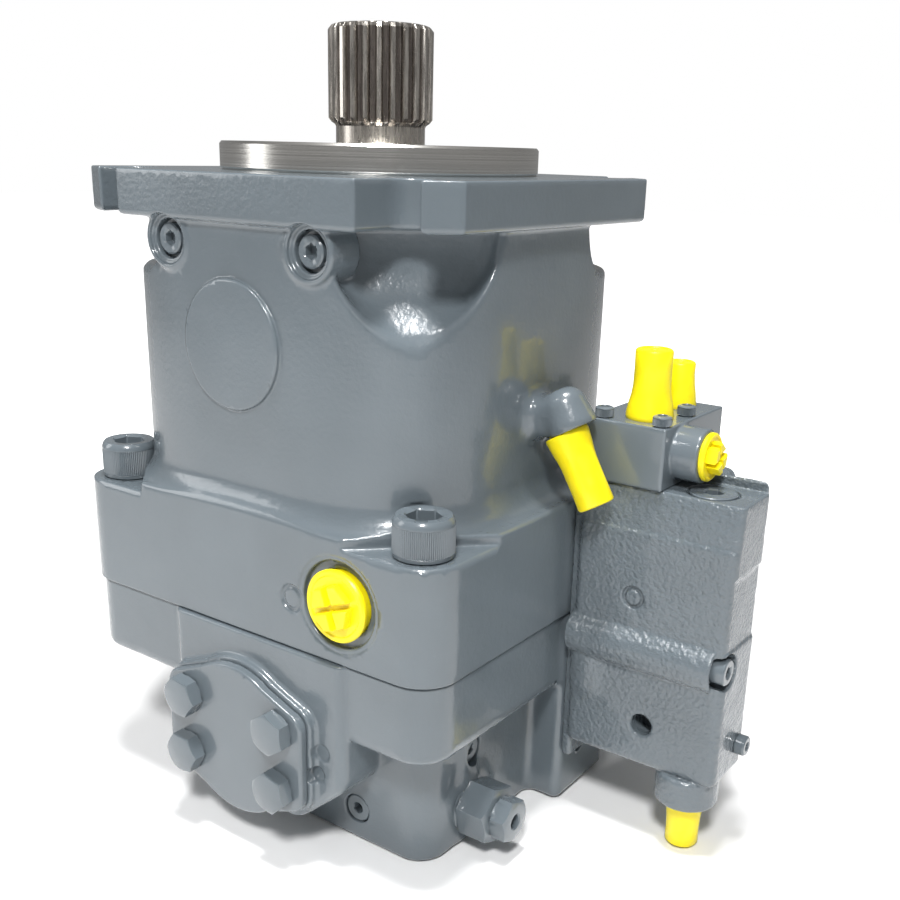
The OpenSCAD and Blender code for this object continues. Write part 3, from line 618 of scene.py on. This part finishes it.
def housing_casting():
    f = Field((-116, -108, JOINT_Z), (128, 108, 1), grid_step(0.8))
    x, y, z = f.coords([slice(0, int(n)) for n in f.n])
    d = join(body_outline(x, y), z - (SEAT_Z + 5), 12)
    d = meet(d, rect(x, y, FOOT_X, FOOT_Y, 18.5), 2)
    d = np.maximum(d, z + FLANGE_T - 1.5)
    # scoops, then the flange over them
    d = meet(d, -pocket(x, y, z), 4)
    f.d[:] = d
    # bosses round the panel plugs, and the raised disc of the panel
    for side in (-1, 1):
        for px in (-PANEL_PLUG_X, PANEL_PLUG_X):
            f.rod("add", (px, side * 80, PANEL_PLUG_Z), (0, side, 0), 13.5, 18.4, 1.5, 2)
        f.rod("add", (3 * side, side * 90, -72.5), (0, side, 0), 28.8, 10.2, 0.9, 0.5)
    # hooded boss of the bleed port
    hood = BLEED_FOOT + 4.6 * BLEED_ACROSS
    f.block("add", (92, BLEED_FOOT[1] - 9, -113), (107, BLEED_FOOT[1] + 9, -97), 6, 7)
    f.rod("add", hood - 16 * BLEED_AXIS, BLEED_AXIS, 9.6, 23, 7, 7, 12.2)
    f.rod("cut", hood + 3.4 * BLEED_AXIS, BLEED_AXIS, 15, 30, 0, 0.4)
    plain_sides(f)
    f.roughen(14.0, 0.05, 11)
    f.roughen(2.6, 0.022, 12)
    # flange, machined
    f.add(lambda x, y, z: meet(meet(flange_outline(x, y), -FLANGE_T - z, 2.4), z, 0.8),
          (-FLANGE_X, -FLANGE_Y, -FLANGE_T), (FLANGE_X, FLANGE_Y, 0), 2.5)
    # screw seats with their diagonal back walls
    f.cut(lambda x, y, z: meet((168 - np.abs(x) - np.abs(y)) / math.sqrt(2), SEAT_Z - z, 1.0),
          (-116, -108, SEAT_Z), (116, 108, SEAT_Z + 22), 0.8)
    for sx, sy in QUARTERS:
        f.rod("cut", (sx * SCREW_X, sy * SCREW_Y, SEAT_Z), (0, 0, 1), 14.4, 18.4, 0.8, 0.8)
        f.rod("cut", (sx * SCREW_X, sy * SCREW_Y, JOINT_Z - 2), (0, 0, 1), 9.5, 60)
    # joint face
    f.block("cut", (-130, -120, JOINT_Z - 12), (130, 120, JOINT_Z), 0, 0.8)
    # plug seats
    for px in (-PANEL_PLUG_X, PANEL_PLUG_X):
        f.rod("cut", (px, -PANEL + 1.4, PANEL_PLUG_Z), (0, -1, 0), 11.2, 8, 0.5, 0.5)
        f.rod("cut", (px, -PANEL + 6, PANEL_PLUG_Z), (0, -1, 0), 8.8, 12, 0.5, 0.5)
    # case drain port
    drain = mid("drain_plug")
    for how, px, pz, sunk, radius, reach, edge, fillet in (
            ("cut", drain[0], drain[2], 0.6, 22.8, 6, 0.3, 0.3),
            ("cut", drain[0], drain[2], 4, 20.2, 8, 0.5, 0.8),
            ("cut", drain[0], drain[2], 20, 15.5, 30, 0, 0),
            # blind round mark beside the port
            ("cut", 35, -180.5, 1.2, 6.5, 4, 0.5, 0.6),
            ("add", 35, -180.5, 3, 4.6, 2.6, 0.6, 0.6)):
        f.rod(how, (px, -FOOT_Y + sunk, pz), (0, -1, 0), radius, reach, edge, fillet)
    # bleed port
    f.rod("cut", BLEED_FOOT - 10 * BLEED_AXIS, BLEED_AXIS, 6, 20)
    # inside: rotating group, cradle, shaft bore, and the two chambers for the ears of the swashplate
    f.rod("cut", (0, 0, JOINT_Z - 2), (0, 0, 1), 80, 161, 2)
    f.rod("cut", (-74, 0, -92), (1, 0, 0), 53, 148)
    f.rod("cut", (0, 0, -60), (0, 0, 1), 50, 100)
    for s in (-1, 1):
        f.rod("cut", (s * 66, s * 66, JOINT_Z - 2), (0, 0, 1), 10.3, 104)
        f.cut(lambda x, y, z: np.maximum(np.maximum(slab((x + y) * s / math.sqrt(2), 60, 105),
                                                    slab((x - y) / math.sqrt(2), -17, 17)),
                                         slab(z, -114, -47)),
              (-105, -105, -114), (105, 105, -47))
    return f.mesh("housing_casting")


painted(housing_casting(), "housing", CAST)

pilot = Shape("pilot_ring")
pilot.lathe([("c", 51, -34), ("c", 60, -34), ("c", 60, -1), ("c", 75.4, -1), ("c", 75.4, 0.3),
             ("c", 75.7, 0.8), ("c", 76.2, 1.4), ("c", 76.2, PILOT_H - 1.2), ("c", 75.2, PILOT_H),
             ("c", 56, PILOT_H), ("c", 55.2, PILOT_H - 0.8), ("c", 41.2, PILOT_H - 0.8),
             ("c", 39.6, PILOT_H - 2), ("c", 39.6, 9), ("c", 38.05, 9), ("c", 38.05, -8), ("c", 51, -8)],
            n=192, closed=True)
ship(pilot.build(), "casing", STEEL, "machined_steel")


# ---------------------------------------------------------------- port plate casting

def port_plate_casting():
    x0, x1, y0, y1 = -58.0, 94.0, -79.0, FOOT_Y
    f = Field((-114, -112, FLOOR_Z), (116, 107, JOINT_Z), grid_step(0.8))
    band = JOINT_Z - 39
    f.add(lambda x, y, z: meet(rect(x, y, FOOT_X - 1.5, FOOT_Y - 1.5, 18), band - z, 5),
          (-112, -104, band), (112, 104, JOINT_Z + 3))
    f.add(lambda x, y, z: meet(rect(x - (x0 + x1) / 2, y - (y0 + y1) / 2, (x1 - x0) / 2, (y1 - y0) / 2, 15),
                               slab(z, FLOOR_Z, band + 8), 3),
          (x0, y0, FLOOR_Z), (x1, y1, band + 8), 6)
    f.block("add", (60, 9, FLOOR_Z), (FOOT_X, 59, JOINT_Z - 2), 5, 5)
    # raised pressure side, its lower right corner sloping
    f.add(lambda x, y, z: meet(meet(block(x, y, z, (-43, -106, FLOOR_Z + 18), (66, -60, JOINT_Z + 8), 5),
                                    0.66 * (x - 66) - 0.75 * (z + 268), 4), z - JOINT_Z - 3, 0),
          (-43, -106, FLOOR_Z + 18), (66, -60, JOINT_Z + 3), 1.5)
    # relief valve boss
    _, ry, rz = mid("relief_valve")
    f.rod("add", (70, ry, rz), (1, 0, 0), 18, x1 - 70, 3, 6)
    f.block("add", (86, ry - 8, rz + 10), (x1 + 3, ry + 4, band + 4), 3, 5)
    # suction side boss
    f.add(lambda x, y, z: meet(rect(x, z - SUCTION_Z, 60, 42, 20), slab(y, 70, y1), 3),
          (-60, 70, SUCTION_Z - 42), (60, y1, SUCTION_Z + 42), 6)
    f.roughen(14.0, 0.05, 21)
    f.roughen(2.6, 0.03, 22)
    # pressure port boss, a little larger than its cover
    cx, _, cz = mid("port_cover")
    boss_y = box("port_cover")[1][1]
    f.add(lambda x, y, z: meet(cover_outline(x - cx, z - cz, 1.6), slab(y, boss_y, -90), 1.2),
          (cx - 46, boss_y, cz - 42), (cx + 46, -90, cz + 42), 2)
    # machined faces: joint, floor, suction flange
    f.block("cut", (-130, -130, JOINT_Z - 0.35), (130, 130, JOINT_Z + 12), 0, 0.8)
    f.block("cut", (-130, -130, FLOOR_Z - 12), (130, 130, FLOOR_Z), 0, 0.8)
    f.block("cut", (-130, y1, FLOOR_Z - 12), (130, y1 + 12, JOINT_Z + 12), 0, 0.8)
    f.rod("cut", (0, 22, SUCTION_Z), (0, 1, 0), 31.75, 100, 0, 1.2)
    for sx, sz in QUARTERS:
        f.rod("cut", (sx * 44.45, y1 - 24, SUCTION_Z + sz * 25.4), (0, 1, 0), 5, 40, 0, 0.8)
    for sx, sy in QUARTERS:
        f.rod("cut", (sx * SCREW_X, sy * SCREW_Y, JOINT_Z - 34), (0, 0, 1), 7.65, 50)
    # two shallow cast marks beside the cover
    f.rod("cut", (54, -105.2, -251), (0, -1, 0), 4.2, 6, 0.4, 0.4)
    f.rod("cut", (51, -105.2, -263), (0, -1, 0), 4.2, 6, 0.4, 0.4)
    f.rod("cut", (FOOT_X - 12, 30, -287), (1, 0, 0), 4, 20, 0, 0.6)
    # bearing seat, kidney galleries
    f.rod("cut", (0, 0, JOINT_Z - 22), (0, 0, 1), 36, 40)
    for s in (-1, 1):
        f.cut(lambda x, y, z: np.maximum(np.maximum(np.abs(length(x, y) - 54) - 8,
                                                    slab(z, JOINT_Z - 20, JOINT_Z + 3)), 20 - s * x),
              (-64, -64, JOINT_Z - 20), (64, 64, JOINT_Z + 3))
    # plug seats
    for at, axis in plug_seats():
        f.rod("cut", np.array(at) - np.array(axis) * 10, axis, 7.4, 40, 0, 0.5)
    return f.mesh("port_plate_casting")


def cover_outline(u, w, grow):
    """Round plate with four ears, as a blend of its circles and the strip between them."""
    au, aw = np.abs(u), np.abs(w)
    disc = length(u, w) - 38
    ear = length(au - 35.5, aw - 17) - 8.5
    strip = rect(u, w, 44, 17)
    web = polygon(au, aw, [(0, 0), (44, 0), (44, 17), (40, 24.2), (21.5, 31.6), (0, 38)])
    return np.minimum(np.minimum(disc, ear), np.minimum(strip, web)) - grow


def plug_seats():
    """Places and directions of the two socket plugs of the lower block."""
    lo, hi = box("port_plate_plugs")
    return [((51.6, lo[1] - 0.2, lo[2] + 7), (0, -1, 0)), ((hi[0] + 0.2, -44, hi[2] - 7), (1, 0, 0))]


painted(port_plate_casting(), "port_plate", CAST)


# ---------------------------------------------------------------- control valve casting

def valve_casting():
    lo, hi = box("valve_body")
    x0, x1, y0, top = VALVE_X, hi[0], VALVE_Y, VALVE_TOP
    y1, bottom = y0 + 34.5, top - 139
    f = Field((FOOT_X, lo[1] - 2, lo[2]), (hi[0] + 1, hi[1] + 1, hi[2]), grid_step(0.7))
    f.block("add", (x0, y0, bottom), (x1, y1, top + 6), 4)
    # the front leans back above the ledge line, the end face steps back below the top
    f.cut(lambda x, y, z: meet((y - y0 - 0.16 * (z - top + 20)) / 1.013, top - 19 - z),
          (x0 - 9, y0 - 9, top - 20), (x1 + 5, y0 + 5, top + 9), 3)
    f.block("cut", (x1 - 0.9, y0 - 9, -202), (x1 + 9, y1 + 9, top - 34), 1, 2)
    # joint plate against the housing, rear chamber, front bulge, rear corner boss, bottom boss
    f.block("add", (FOOT_X, y0 + 3, top - 150), (FOOT_X + 6, y0 + 34, top), 2.5, 2)
    f.block("add", (x0, y0 + 24, top - 105), (x0 + 48, hi[1], top - 13), 5, 4)
    f.rod("add", (x0 + 9, y0 + 11, -246), (0, 0, 1), 12.5, 30, 8, 3)
    f.block("add", (x0 + 40.5, 38, top - 40), (x0 + 56.5, 58, top + 4), 5, 3)
    boss = mid("bottom_cap")
    f.rod("add", (boss[0], boss[1], bottom - 15), (0, 0, 1), 15.3, 16, 2, 0.6)
    f.roughen(6.0, 0.05, 31)
    f.roughen(2.4, 0.06, 32)
    f.rod("add", (x0 - 1, RIDGE_Y, RIDGE_Z), (1, 0, 0), 11.3, x1 - x0 - 4.5, 1.0, 1.6)
    f.roughen(5.0, 0.03, 33)
    # round cast mark, and a through hole below the ridge
    f.rod("cut", (x0 + 31, y0 + 1.5, -186), (0, -1, 0), 5.4, 6, 0.3, 0.5)
    f.rod("add", (x0 + 31, y0 + 3, -186), (0, -1, 0), 3.9, 2.9, 0.4, 0.4)
    f.rod("cut", (x0 + 40.5, y0 + 14, -250), (0, -1, 0), 5.4, 30, 0, 1.2)
    # machined top, spool bore and its seat, ridge gallery, outlet
    f.block("cut", (0, -50, top), (300, 38.5, top + 60), 0, 0.8)
    f.rod("cut", (SPOOL_X, SPOOL_Y, top - 8), (0, 0, 1), 11.15, 20, 0, 0.4)
    f.rod("cut", (SPOOL_X, SPOOL_Y, top - 1.2), (0, 0, 1), 11.9, 20, 0, 0.4)
    f.rod("cut", (x1 - 12, RIDGE_Y, RIDGE_Z), (1, 0, 0), 8.9, 20, 0.5, 0.6)
    f.rod("cut", (x0 + 14, RIDGE_Y, RIDGE_Z), (1, 0, 0), 5.1, 80)
    f.rod("cut", (SPOOL_X, SPOOL_Y, top - 90), (0, 0, 1), 6.3, 100)
    f.rod("cut", (SPOOL_X, SPOOL_Y, top - 90), (0, 0, 1), 8, 26)
    f.rod("cut", (boss[0], boss[1], bottom - 20), (0, 0, 1), 6, 30)
    return f.mesh("control_valve_casting", 0.01)


machined_top(painted(valve_casting(), "valve_body", ROUGH_CAST), SMOOTH, VALVE_TOP)


# ---------------------------------------------------------------- pilot valve block

# radius of the larger tube cap at its foot
TUBE_FLARE = 11


def pilot_casting():
    lo, hi = box("pilot_block")
    nose = mid("nose_cap")
    cap_lo, _ = box("tube_caps")
    # the block proper ends here, and the nose goes on
    end = 157.5
    f = Field(lo, hi, grid_step(0.5))
    f.block("add", lo, (end, hi[1], hi[2]), 0.8)
    f.rod("add", (end - 8, nose[1], nose[2]), (1, 0, 0), 12.6, hi[0] - end + 8, 1.2, 1.0)
    f.roughen(8.0, 0.02, 41)
    f.rod("cut", (end - 24, nose[1], nose[2]), (1, 0, 0), 8.1, 80, 0, 0.8)
    f.rod("cut", (cap_lo[0] + TUBE_FLARE, cap_lo[1] + TUBE_FLARE, hi[2] - 8), (0, 0, 1), 5, 20, 0, 0.6)
    return f.mesh("pilot_valve_block")


painted(pilot_casting(), "pilot_block")


# ---------------------------------------------------------------- drive shaft

def spline_radii(root, tip, teeth=24):
    """Angles round the shaft, and the radius at each."""
    tooth = [(0.0, 0), (0.13, 0), (0.21, 0.08), (0.26, 0.4), (0.31, 0.8), (0.35, 1), (0.5, 1),
             (0.65, 1), (0.69, 0.8), (0.74, 0.4), (0.79, 0.08), (0.87, 0)]
    angle = np.array([(i + t) / teeth for i in range(teeth) for t, _ in tooth]) * TAU
    return angle, np.array([root + (tip - root) * h for _ in range(teeth) for _, h in tooth])


def shaft():
    lo, hi = box("drive_shaft")
    top = hi[2]
    angle, full = spline_radii(22.4, 24.8)
    _, inner = spline_radii(22, 24)

    def ring(radius, z):
        r = np.broadcast_to(radius, angle.shape)
        return np.stack([r * np.cos(angle), r * np.sin(angle), np.full(len(angle), float(z))], 1)

    rings = [ring(16.7, lo[2]), ring(17.5, lo[2] + 0.8), ring(17.5, -196), ring(inner - 0.6, -196),
             ring(inner, -195), ring(inner, -131), ring(22, -130), ring(22, -112), ring(24, -112),
             ring(24, -38), ring(30.4, -38), ring(31, -37.4), ring(31, -34), ring(25, -34),
             ring(25, 10.5), ring(24.5, 11), ring(21.9, 11), ring(21.3, 11.8), ring(21.3, 20.6),
             ring(np.minimum(full, 21.9), 21.6), ring(np.minimum(full, 23.4), 22.6), ring(full, 24.2),
             ring(full, top - 2.3), ring(np.minimum(full, 23.3), top - 0.5),
             ring(np.minimum(full, 22.4) - 0.5, top), ring(9, top), ring(8.2, top - 0.5), ring(6, top - 3),
             ring(6, top - 22), ring(0.4, top - 25)]
    s = Shape("splined_shaft")
    s.rings(rings)
    return s.build(28)


ship(shaft(), "rotating_group", SPLINE_STEEL, "machined_steel", "drive_shaft")


# ---------------------------------------------------------------- screws, plugs and fittings

def socket_head(s, at, r, height, key, n, shank, reach):
    """Upright screw: knurled head with a bevelled top ring and a hexagon socket, and its shank."""
    s.lathe([("c", shank - 0.8, -reach), ("c", shank, -reach + 0.8), ("c", shank, -0.2),
             ("c", r - 0.9, 0), ("c", r - 0.25, 0.5), ("c", r - 0.25, height * 0.11), ("c", r, height * 0.12),
             ("knurl", r, height * 0.125), ("knurl", r, height * 0.8), ("c", r, height * 0.805),
             ("c", r, height * 0.86), ("c", r - 0.7, height * 0.95), ("c", r - 1.5, height),
             ("c", key / 2 * 1.2, height), ("hex", key / 2, height - 0.7), ("hex", key / 2, height * 0.42),
             ("c", 0.4, height * 0.3)], at, (0, 0, 1), n)


def socket_plug(s, at, axis, radius, depth, key):
    """Flush plug with a hexagon socket."""
    s.lathe([("c", radius, -depth), ("c", radius, -0.5), ("c", radius - 0.5, 0), ("c", key / 2 * 1.22, 0),
             ("hex", key / 2, -0.6), ("hex", key / 2, -depth * 0.7), ("c", 0.3, -depth * 0.85)],
            at, axis, 120)


def hex_bolt(s, at, axis, flats, height, shank, reach, spin):
    """Hexagon head with turned-off corners, its washer face and its shank."""
    h = flats / 2
    s.lathe([("c", shank - 0.6, -reach), ("c", shank, -reach + 0.6), ("c", shank, 0), ("c", h * 0.98, 0),
             ("c", h * 0.98, 0.6), ("hex", h, 0.65), ("crown", h, height - 0.2), ("c", h * 0.95, height),
             ("c", 0.5, height - 0.25)], at, axis, 96, spin)


# gap that keeps a screw head off the face it sits on
LIFT = 0.02

s = Shape("casing_screw_set")
for sx, sy in QUARTERS:
    socket_head(s, (sx * SCREW_X, sy * SCREW_Y, SEAT_Z + LIFT), SCREW_HEAD_R, SCREW_HEAD_H, 14, 180, 7.6, 81)
painted(s.build(), "casing_screws")

s = Shape("panel_plugs")
face_y = box("housing_plugs")[0][1] + 0.4
for px in (-PANEL_PLUG_X, PANEL_PLUG_X):
    s.lathe([("c", 6.9, -7), ("c", 6.9, -0.6), ("c", 6.2, 0), ("c", 4.0, 0), ("hex", 3, -0.6), ("hex", 3, -5),
             ("c", 0.3, -6)], (px, face_y, mid("housing_plugs")[2]), (0, -1, 0), 120)
painted(s.build(), "housing_plugs")

s = Shape("cover_bolt_set")
cover_lo, cover_hi = box("port_cover")
bolt_mid = mid("port_cover_bolts")
for sx, sz, spin in ((-1, -1, 30), (1, -1, 14), (-1, 1, 22), (1, 1, 5)):
    hex_bolt(s, (bolt_mid[0] + sx * COVER_BOLT_X, cover_lo[1] - LIFT, bolt_mid[2] + sz * COVER_BOLT_Z),
             (0, -1, 0), 18, 7.5, 4.9, 24, math.radians(spin))
painted(s.build(), "port_cover_bolts")


def cover():
    lo, hi = cover_lo, cover_hi
    cx, _, cz = mid("port_cover")
    f = Field(lo, hi, grid_step(0.6))
    f.add(lambda x, y, z: meet(cover_outline(x - cx, z - cz, 0), slab(y, lo[1], hi[1]), 1.3), lo, hi)
    f.roughen(10, 0.03, 51)
    for sx, sz in QUARTERS:
        f.rod("cut", (bolt_mid[0] + sx * COVER_BOLT_X, lo[1] - 3, bolt_mid[2] + sz * COVER_BOLT_Z), (0, 1, 0),
              6.5, 12)
    return f.mesh("port_cover_plate")


painted(cover(), "port_cover")

s = Shape("port_plate_plug_set")
for at, axis in plug_seats():
    socket_plug(s, at, axis, 6.9, 9, 5)
painted(s.build(), "port_plate_plugs")

s = Shape("relief_valve_cartridge")
s.lathe([("c", 8.9, -20), ("c", 8.9, 0), ("c", 14, 0), ("c", 14, 2.2), ("c", 12.7, 2.8), ("hex", 13, 3.2),
         ("hex", 13, 4.4), ("hex", 13, 17.2), ("crown", 13, 18.8), ("c", 12.2, 19), ("c", 9.6, 19.2),
         ("hex", 9.5, 20), ("hex", 9.5, 26.6), ("crown", 9.5, 27.8), ("c", 8.8, 28), ("c", 4.2, 28),
         ("c", 3.4, 27.2), ("c", 3.3, 22), ("c", 0.3, 21)],
        (box("relief_valve")[1][0] - 28, *mid("relief_valve")[1:]), (1, 0, 0), 120, math.radians(12))
painted(s.build(), "relief_valve")

valve_end = box("valve_body")[1][0]
s = Shape("valve_plug_set")
socket_plug(s, (SPOOL_X, SPOOL_Y, VALVE_TOP + 0.4), (0, 0, 1), 10.9, 8, 8)
s.lathe([("c", 7.9, -9.5), ("c", 7.9, -6.4), ("c", 6.3, -6), ("c", 6.3, 0.7), ("c", 5.7, 1.3),
         ("c", 3.5, 1.3), ("hex", 2.6, 0.7), ("hex", 2.6, -3), ("c", 0.3, -4)],
        (valve_end - 1.5, RIDGE_Y, RIDGE_Z), (1, 0, 0), 120)
s.lathe([("c", 3, -12), ("c", 3, 0), ("c", 4.6, 0), ("c", 5, 0.4), ("c", 5, 4.2), ("c", 4.3, 5),
         ("c", 2.5, 5), ("hex", 2, 4.5), ("hex", 2, 2.4), ("c", 0.3, 2)],
        (valve_end, 33, -258), (1, 0, 0), 96)
painted(s.build(), "valve_plugs")

s = Shape("pilot_screw_set")
for px, py in ((124, 12), (153, 12), (152, 40), (124, 66)):
    socket_head(s, (px, py, PILOT_TOP + LIFT), 4.3, 5, 4, 96, 2.5, 15)
painted(s.build(), "pilot_screws")


# ---------------------------------------------------------------- yellow transport caps

def cap(s, at, axis, flare, radius, height):
    """Soft cap: a flared foot, a waist and a dished top."""
    s.lathe([("c", 5, 1.5), ("c", flare - 1.2, 1.5), ("c", flare - 0.9, 0), ("c", flare - 0.2, 0),
             ("c", flare, 0.5), ("c", flare, 1.6), ("c", flare - 0.25, 3.4),
             ("c", (flare * 0.62 + radius * 0.38), 7), ("c", (flare * 0.22 + radius * 0.78), 11),
             ("c", radius, 15), ("c", radius * 0.985, height * 0.7), ("c", radius, height - 1.2),
             ("c", radius - 0.4, height - 0.4), ("c", radius - 1.2, height), ("c", radius - 2.6, height),
             ("c", radius - 3.0, height - 0.5), ("c", 2, height - 0.5), ("c", 1.6, height - 0.2),
             ("c", 0.2, height - 0.2)], at, axis, 96)


s = Shape("tube_cap_set")
cap(s, (141, 24, PILOT_TOP + 0.05), (0, 0, 1), TUBE_FLARE, 8.6, 32)
cap(s, (140, 56, PILOT_TOP + 0.05), (0, 0, 1), 9, 7.2, 22)
yellow(s.build(), "tube_caps")

s = Shape("bleed_cap_cover")
cap(s, BLEED_FOOT + BLEED_AXIS * 3.5, BLEED_AXIS, 10.3, 8.6, 36)
yellow(s.build(), "bleed_cap")

s = Shape("bottom_cap_cover")
cap_lo, cap_hi = box("bottom_cap")
cap(s, (*mid("bottom_cap")[:2], cap_hi[2]), (0, 0, -1), 8.8, 8.0, cap_hi[2] - cap_lo[2])
yellow(s.build(), "bottom_cap")


def clip(points, a, b, c):
    """Part of a convex outline where a x + b y >= c."""
    out = []
    for (x0, y0), (x1, y1) in zip(points, points[1:] + points[:1]):
        d0, d1 = a * x0 + b * y0 - c, a * x1 + b * y1 - c
        if d0 >= 0:
            out.append((x0, y0))
        if (d0 > 0) != (d1 > 0) and d0 != d1:
            t = d0 / (d0 - d1)
            out.append((x0 + t * (x1 - x0), y0 + t * (y1 - y0)))
    return out


def grip_plug(name, at, axis, disc, stem, stem_depth, flats, slot, rise):
    """Push-in plug: dished disc with a hexagon grip split by a cross-shaped slot, a little turned."""
    spin = math.radians(20)
    s = Shape(name)
    s.lathe([("c", stem - 1, -stem_depth), ("c", stem, -stem_depth + 1), ("c", stem, -0.4),
             ("c", disc - 0.6, -0.4), ("c", disc, 0.2), ("c", disc, 1.5), ("c", disc - 0.7, 2.3),
             ("c", disc * 0.86, 2.4), ("c", disc * 0.82, 1.8), ("c", disc * 0.3, 1.7), ("c", 0.2, 1.7)],
            at, axis, 96)
    r = flats / 2 / math.cos(TAU / 12)
    hexagon = [(r * math.cos(k * TAU / 6), r * math.sin(k * TAU / 6)) for k in range(6)]
    for sx, sy in QUARTERS:
        part = clip(clip(hexagon, sx, 0, slot / 2), 0, sy, slot / 2)
        s.prism(part, 1.0, rise - 0.35 * (sx + sy), 0.7, at, axis, spin)
    return s


drain = mid("drain_plug")
s = grip_plug("drain_plug_cover", (drain[0], -FOOT_Y + 0.6, drain[2]), (0, -1, 0),
              16.6, 15.3, 12, 19, 2.6, 6.2)
yellow(s.build(), "drain_plug")

nose_face = box("nose_cap")[0][0] + 0.4
s = grip_plug("nose_plug_cover", (nose_face, *mid("nose_cap")[1:]), (1, 0, 0), 11.2, 9, 0.3, 13, 2.2, 6.6)
yellow(s.build(), "nose_cap")


# ---------------------------------------------------------------- CAD nodes that stay

PISTONS = range(1, 10)
LOOKS = (
    (RUBBER, ["joint_seal", "shaft_seal"]),
    (SPRING, ["seal_snap_ring", "block_spring", "counter_spring", "spool_spring"]),
    (GROUND, ["front_bearing_cup", "front_bearing_cone", "front_bearing_rollers",
              "rear_bearing_cup", "rear_bearing_cone", "rear_bearing_rollers",
              "guide_ball", "retaining_plate", "stroking_piston", "counter_piston",
              "control_spool", "pressure_spool", "spring_seat", *(f"piston_{i}" for i in PISTONS)]),
    (IRON, ["cylinder_block", "swashplate"]),
    (BRONZE, ["valve_plate", "cradle_shells", *(f"slipper_{i}" for i in PISTONS)]),
    (BLACK, ["adjusting_screw"]),
)
for material, names in LOOKS:
    for name in names:
        node = frame["nodes"][name]
        node.data.materials.clear()
        node.data.materials.append(material)


# ---------------------------------------------------------------- stage, light and camera

def floor():
    """Pale floor that fades into the white background; the fade is seen by the camera only."""
    m, t, bsdf = node_material("pale_floor")
    coord = t.nodes.new("ShaderNodeTexCoord")
    cloud = noise(t, coord, 1.5, 3)
    finish(t, bsdf, ramp(t, cloud, "Fac", [(0.3, grey(0.86)), (0.7, grey(0.9))]))
    bsdf.inputs["Roughness"].default_value = 0.75
    distance = t.nodes.new("ShaderNodeVectorMath")
    distance.operation = "LENGTH"
    link(t, coord, "Object", distance, 0)
    fade = t.nodes.new("ShaderNodeMapRange")
    fade.inputs["From Min"].default_value = 0.5
    fade.inputs["From Max"].default_value = 0.9
    link(t, distance, "Value", fade, "Value")
    path = t.nodes.new("ShaderNodeLightPath")
    seen = t.nodes.new("ShaderNodeMath")
    seen.operation = "MULTIPLY"
    link(t, fade, "Result", seen, 0)
    link(t, path, "Is Camera Ray", seen, 1)
    bsdf.inputs["Emission Color"].default_value = (1, 1, 1, 1)
    link(t, seen, "Value", bsdf, "Emission Strength")
    mesh = bpy.data.meshes.new("floor")
    # just below the pump, and wide enough to reach the white background
    z, w = FLOOR_Z * MM - 0.0002, 6
    mesh.from_pydata([(-w, -w, z), (w, -w, z), (w, w, z), (-w, w, z)], [], [(0, 1, 2, 3)])
    mesh.materials.append(m)
    obj = bpy.data.objects.new("floor", mesh)
    bpy.context.scene.collection.objects.link(obj)


def area(name, at, target, size, power):
    """Rectangular white light, in metres and watts."""
    light = bpy.data.lights.new(name, "AREA")
    light.shape = "RECTANGLE"
    light.size, light.size_y = size
    light.energy = power
    obj = bpy.data.objects.new(name, light)
    obj.location = at
    obj.rotation_euler = (Vector(target) - Vector(at)).to_track_quat("-Z", "Y").to_euler()
    bpy.context.scene.collection.objects.link(obj)


def world():
    """White where the camera sees it, a soft gradient for the light and the reflections."""
    w = bpy.data.worlds.new("studio")
    w.use_nodes = True
    t = w.node_tree
    back = t.nodes["Background"]
    split = t.nodes.new("ShaderNodeSeparateXYZ")
    link(t, t.nodes.new("ShaderNodeTexCoord"), "Generated", split, "Vector")
    shade = ramp(t, split, "Z", [(0.0, grey(0.25)), (0.5, grey(0.21)), (1.0, grey(0.36))])
    path = t.nodes.new("ShaderNodeLightPath")
    mix = t.nodes.new("ShaderNodeMix")
    mix.data_type = "RGBA"
    link(t, path, "Is Camera Ray", mix, "Factor")
    t.links.new(shade.outputs["Color"], mix.inputs["A"])
    mix.inputs["B"].default_value = (1, 1, 1, 1)
    t.links.new(mix.outputs["Result"], back.inputs["Color"])
    bpy.context.scene.world = w


def camera():
    """The photo's camera, as solved from the flange, pilot, shaft end, screws and joint line."""
    yaw, pitch, roll = 0.616, 0.316, 0.026
    forward = Vector((-math.cos(pitch) * math.sin(yaw), math.cos(pitch) * math.cos(yaw), -math.sin(pitch)))
    right = Vector((math.cos(yaw), math.sin(yaw), 0))
    up = right.cross(forward)
    level, upright = right, up
    right = math.cos(roll) * level + math.sin(roll) * upright
    up = -math.sin(roll) * level + math.cos(roll) * upright
    cam = bpy.data.cameras.new("camera")
    cam.sensor_width = 36
    cam.lens = 44.0
    cam.shift_x = -0.0041
    cam.shift_y = 0.0666
    cam.clip_end = 50
    obj = bpy.data.objects.new("camera", cam)
    place = Matrix((right, up, -forward)).transposed().to_4x4()
    place.translation = Vector((0.3550, -0.4326, 0.0110))
    obj.matrix_world = place
    bpy.context.scene.collection.objects.link(obj)
    bpy.context.scene.camera = obj


floor()
world()
area("key", (0.64, -1.05, 1.1), (0, 0, -0.15), (0.25, 0.25), 27)
area("left", (-1.15, -0.85, 0.35), (0, 0, -0.15), (0.5, 0.8), 4)
area("top", (0.12, -0.2, 1.35), (0, 0, -0.1), (0.25, 0.25), 28)
camera()
bpy.context.scene.view_settings.view_transform = "Standard"
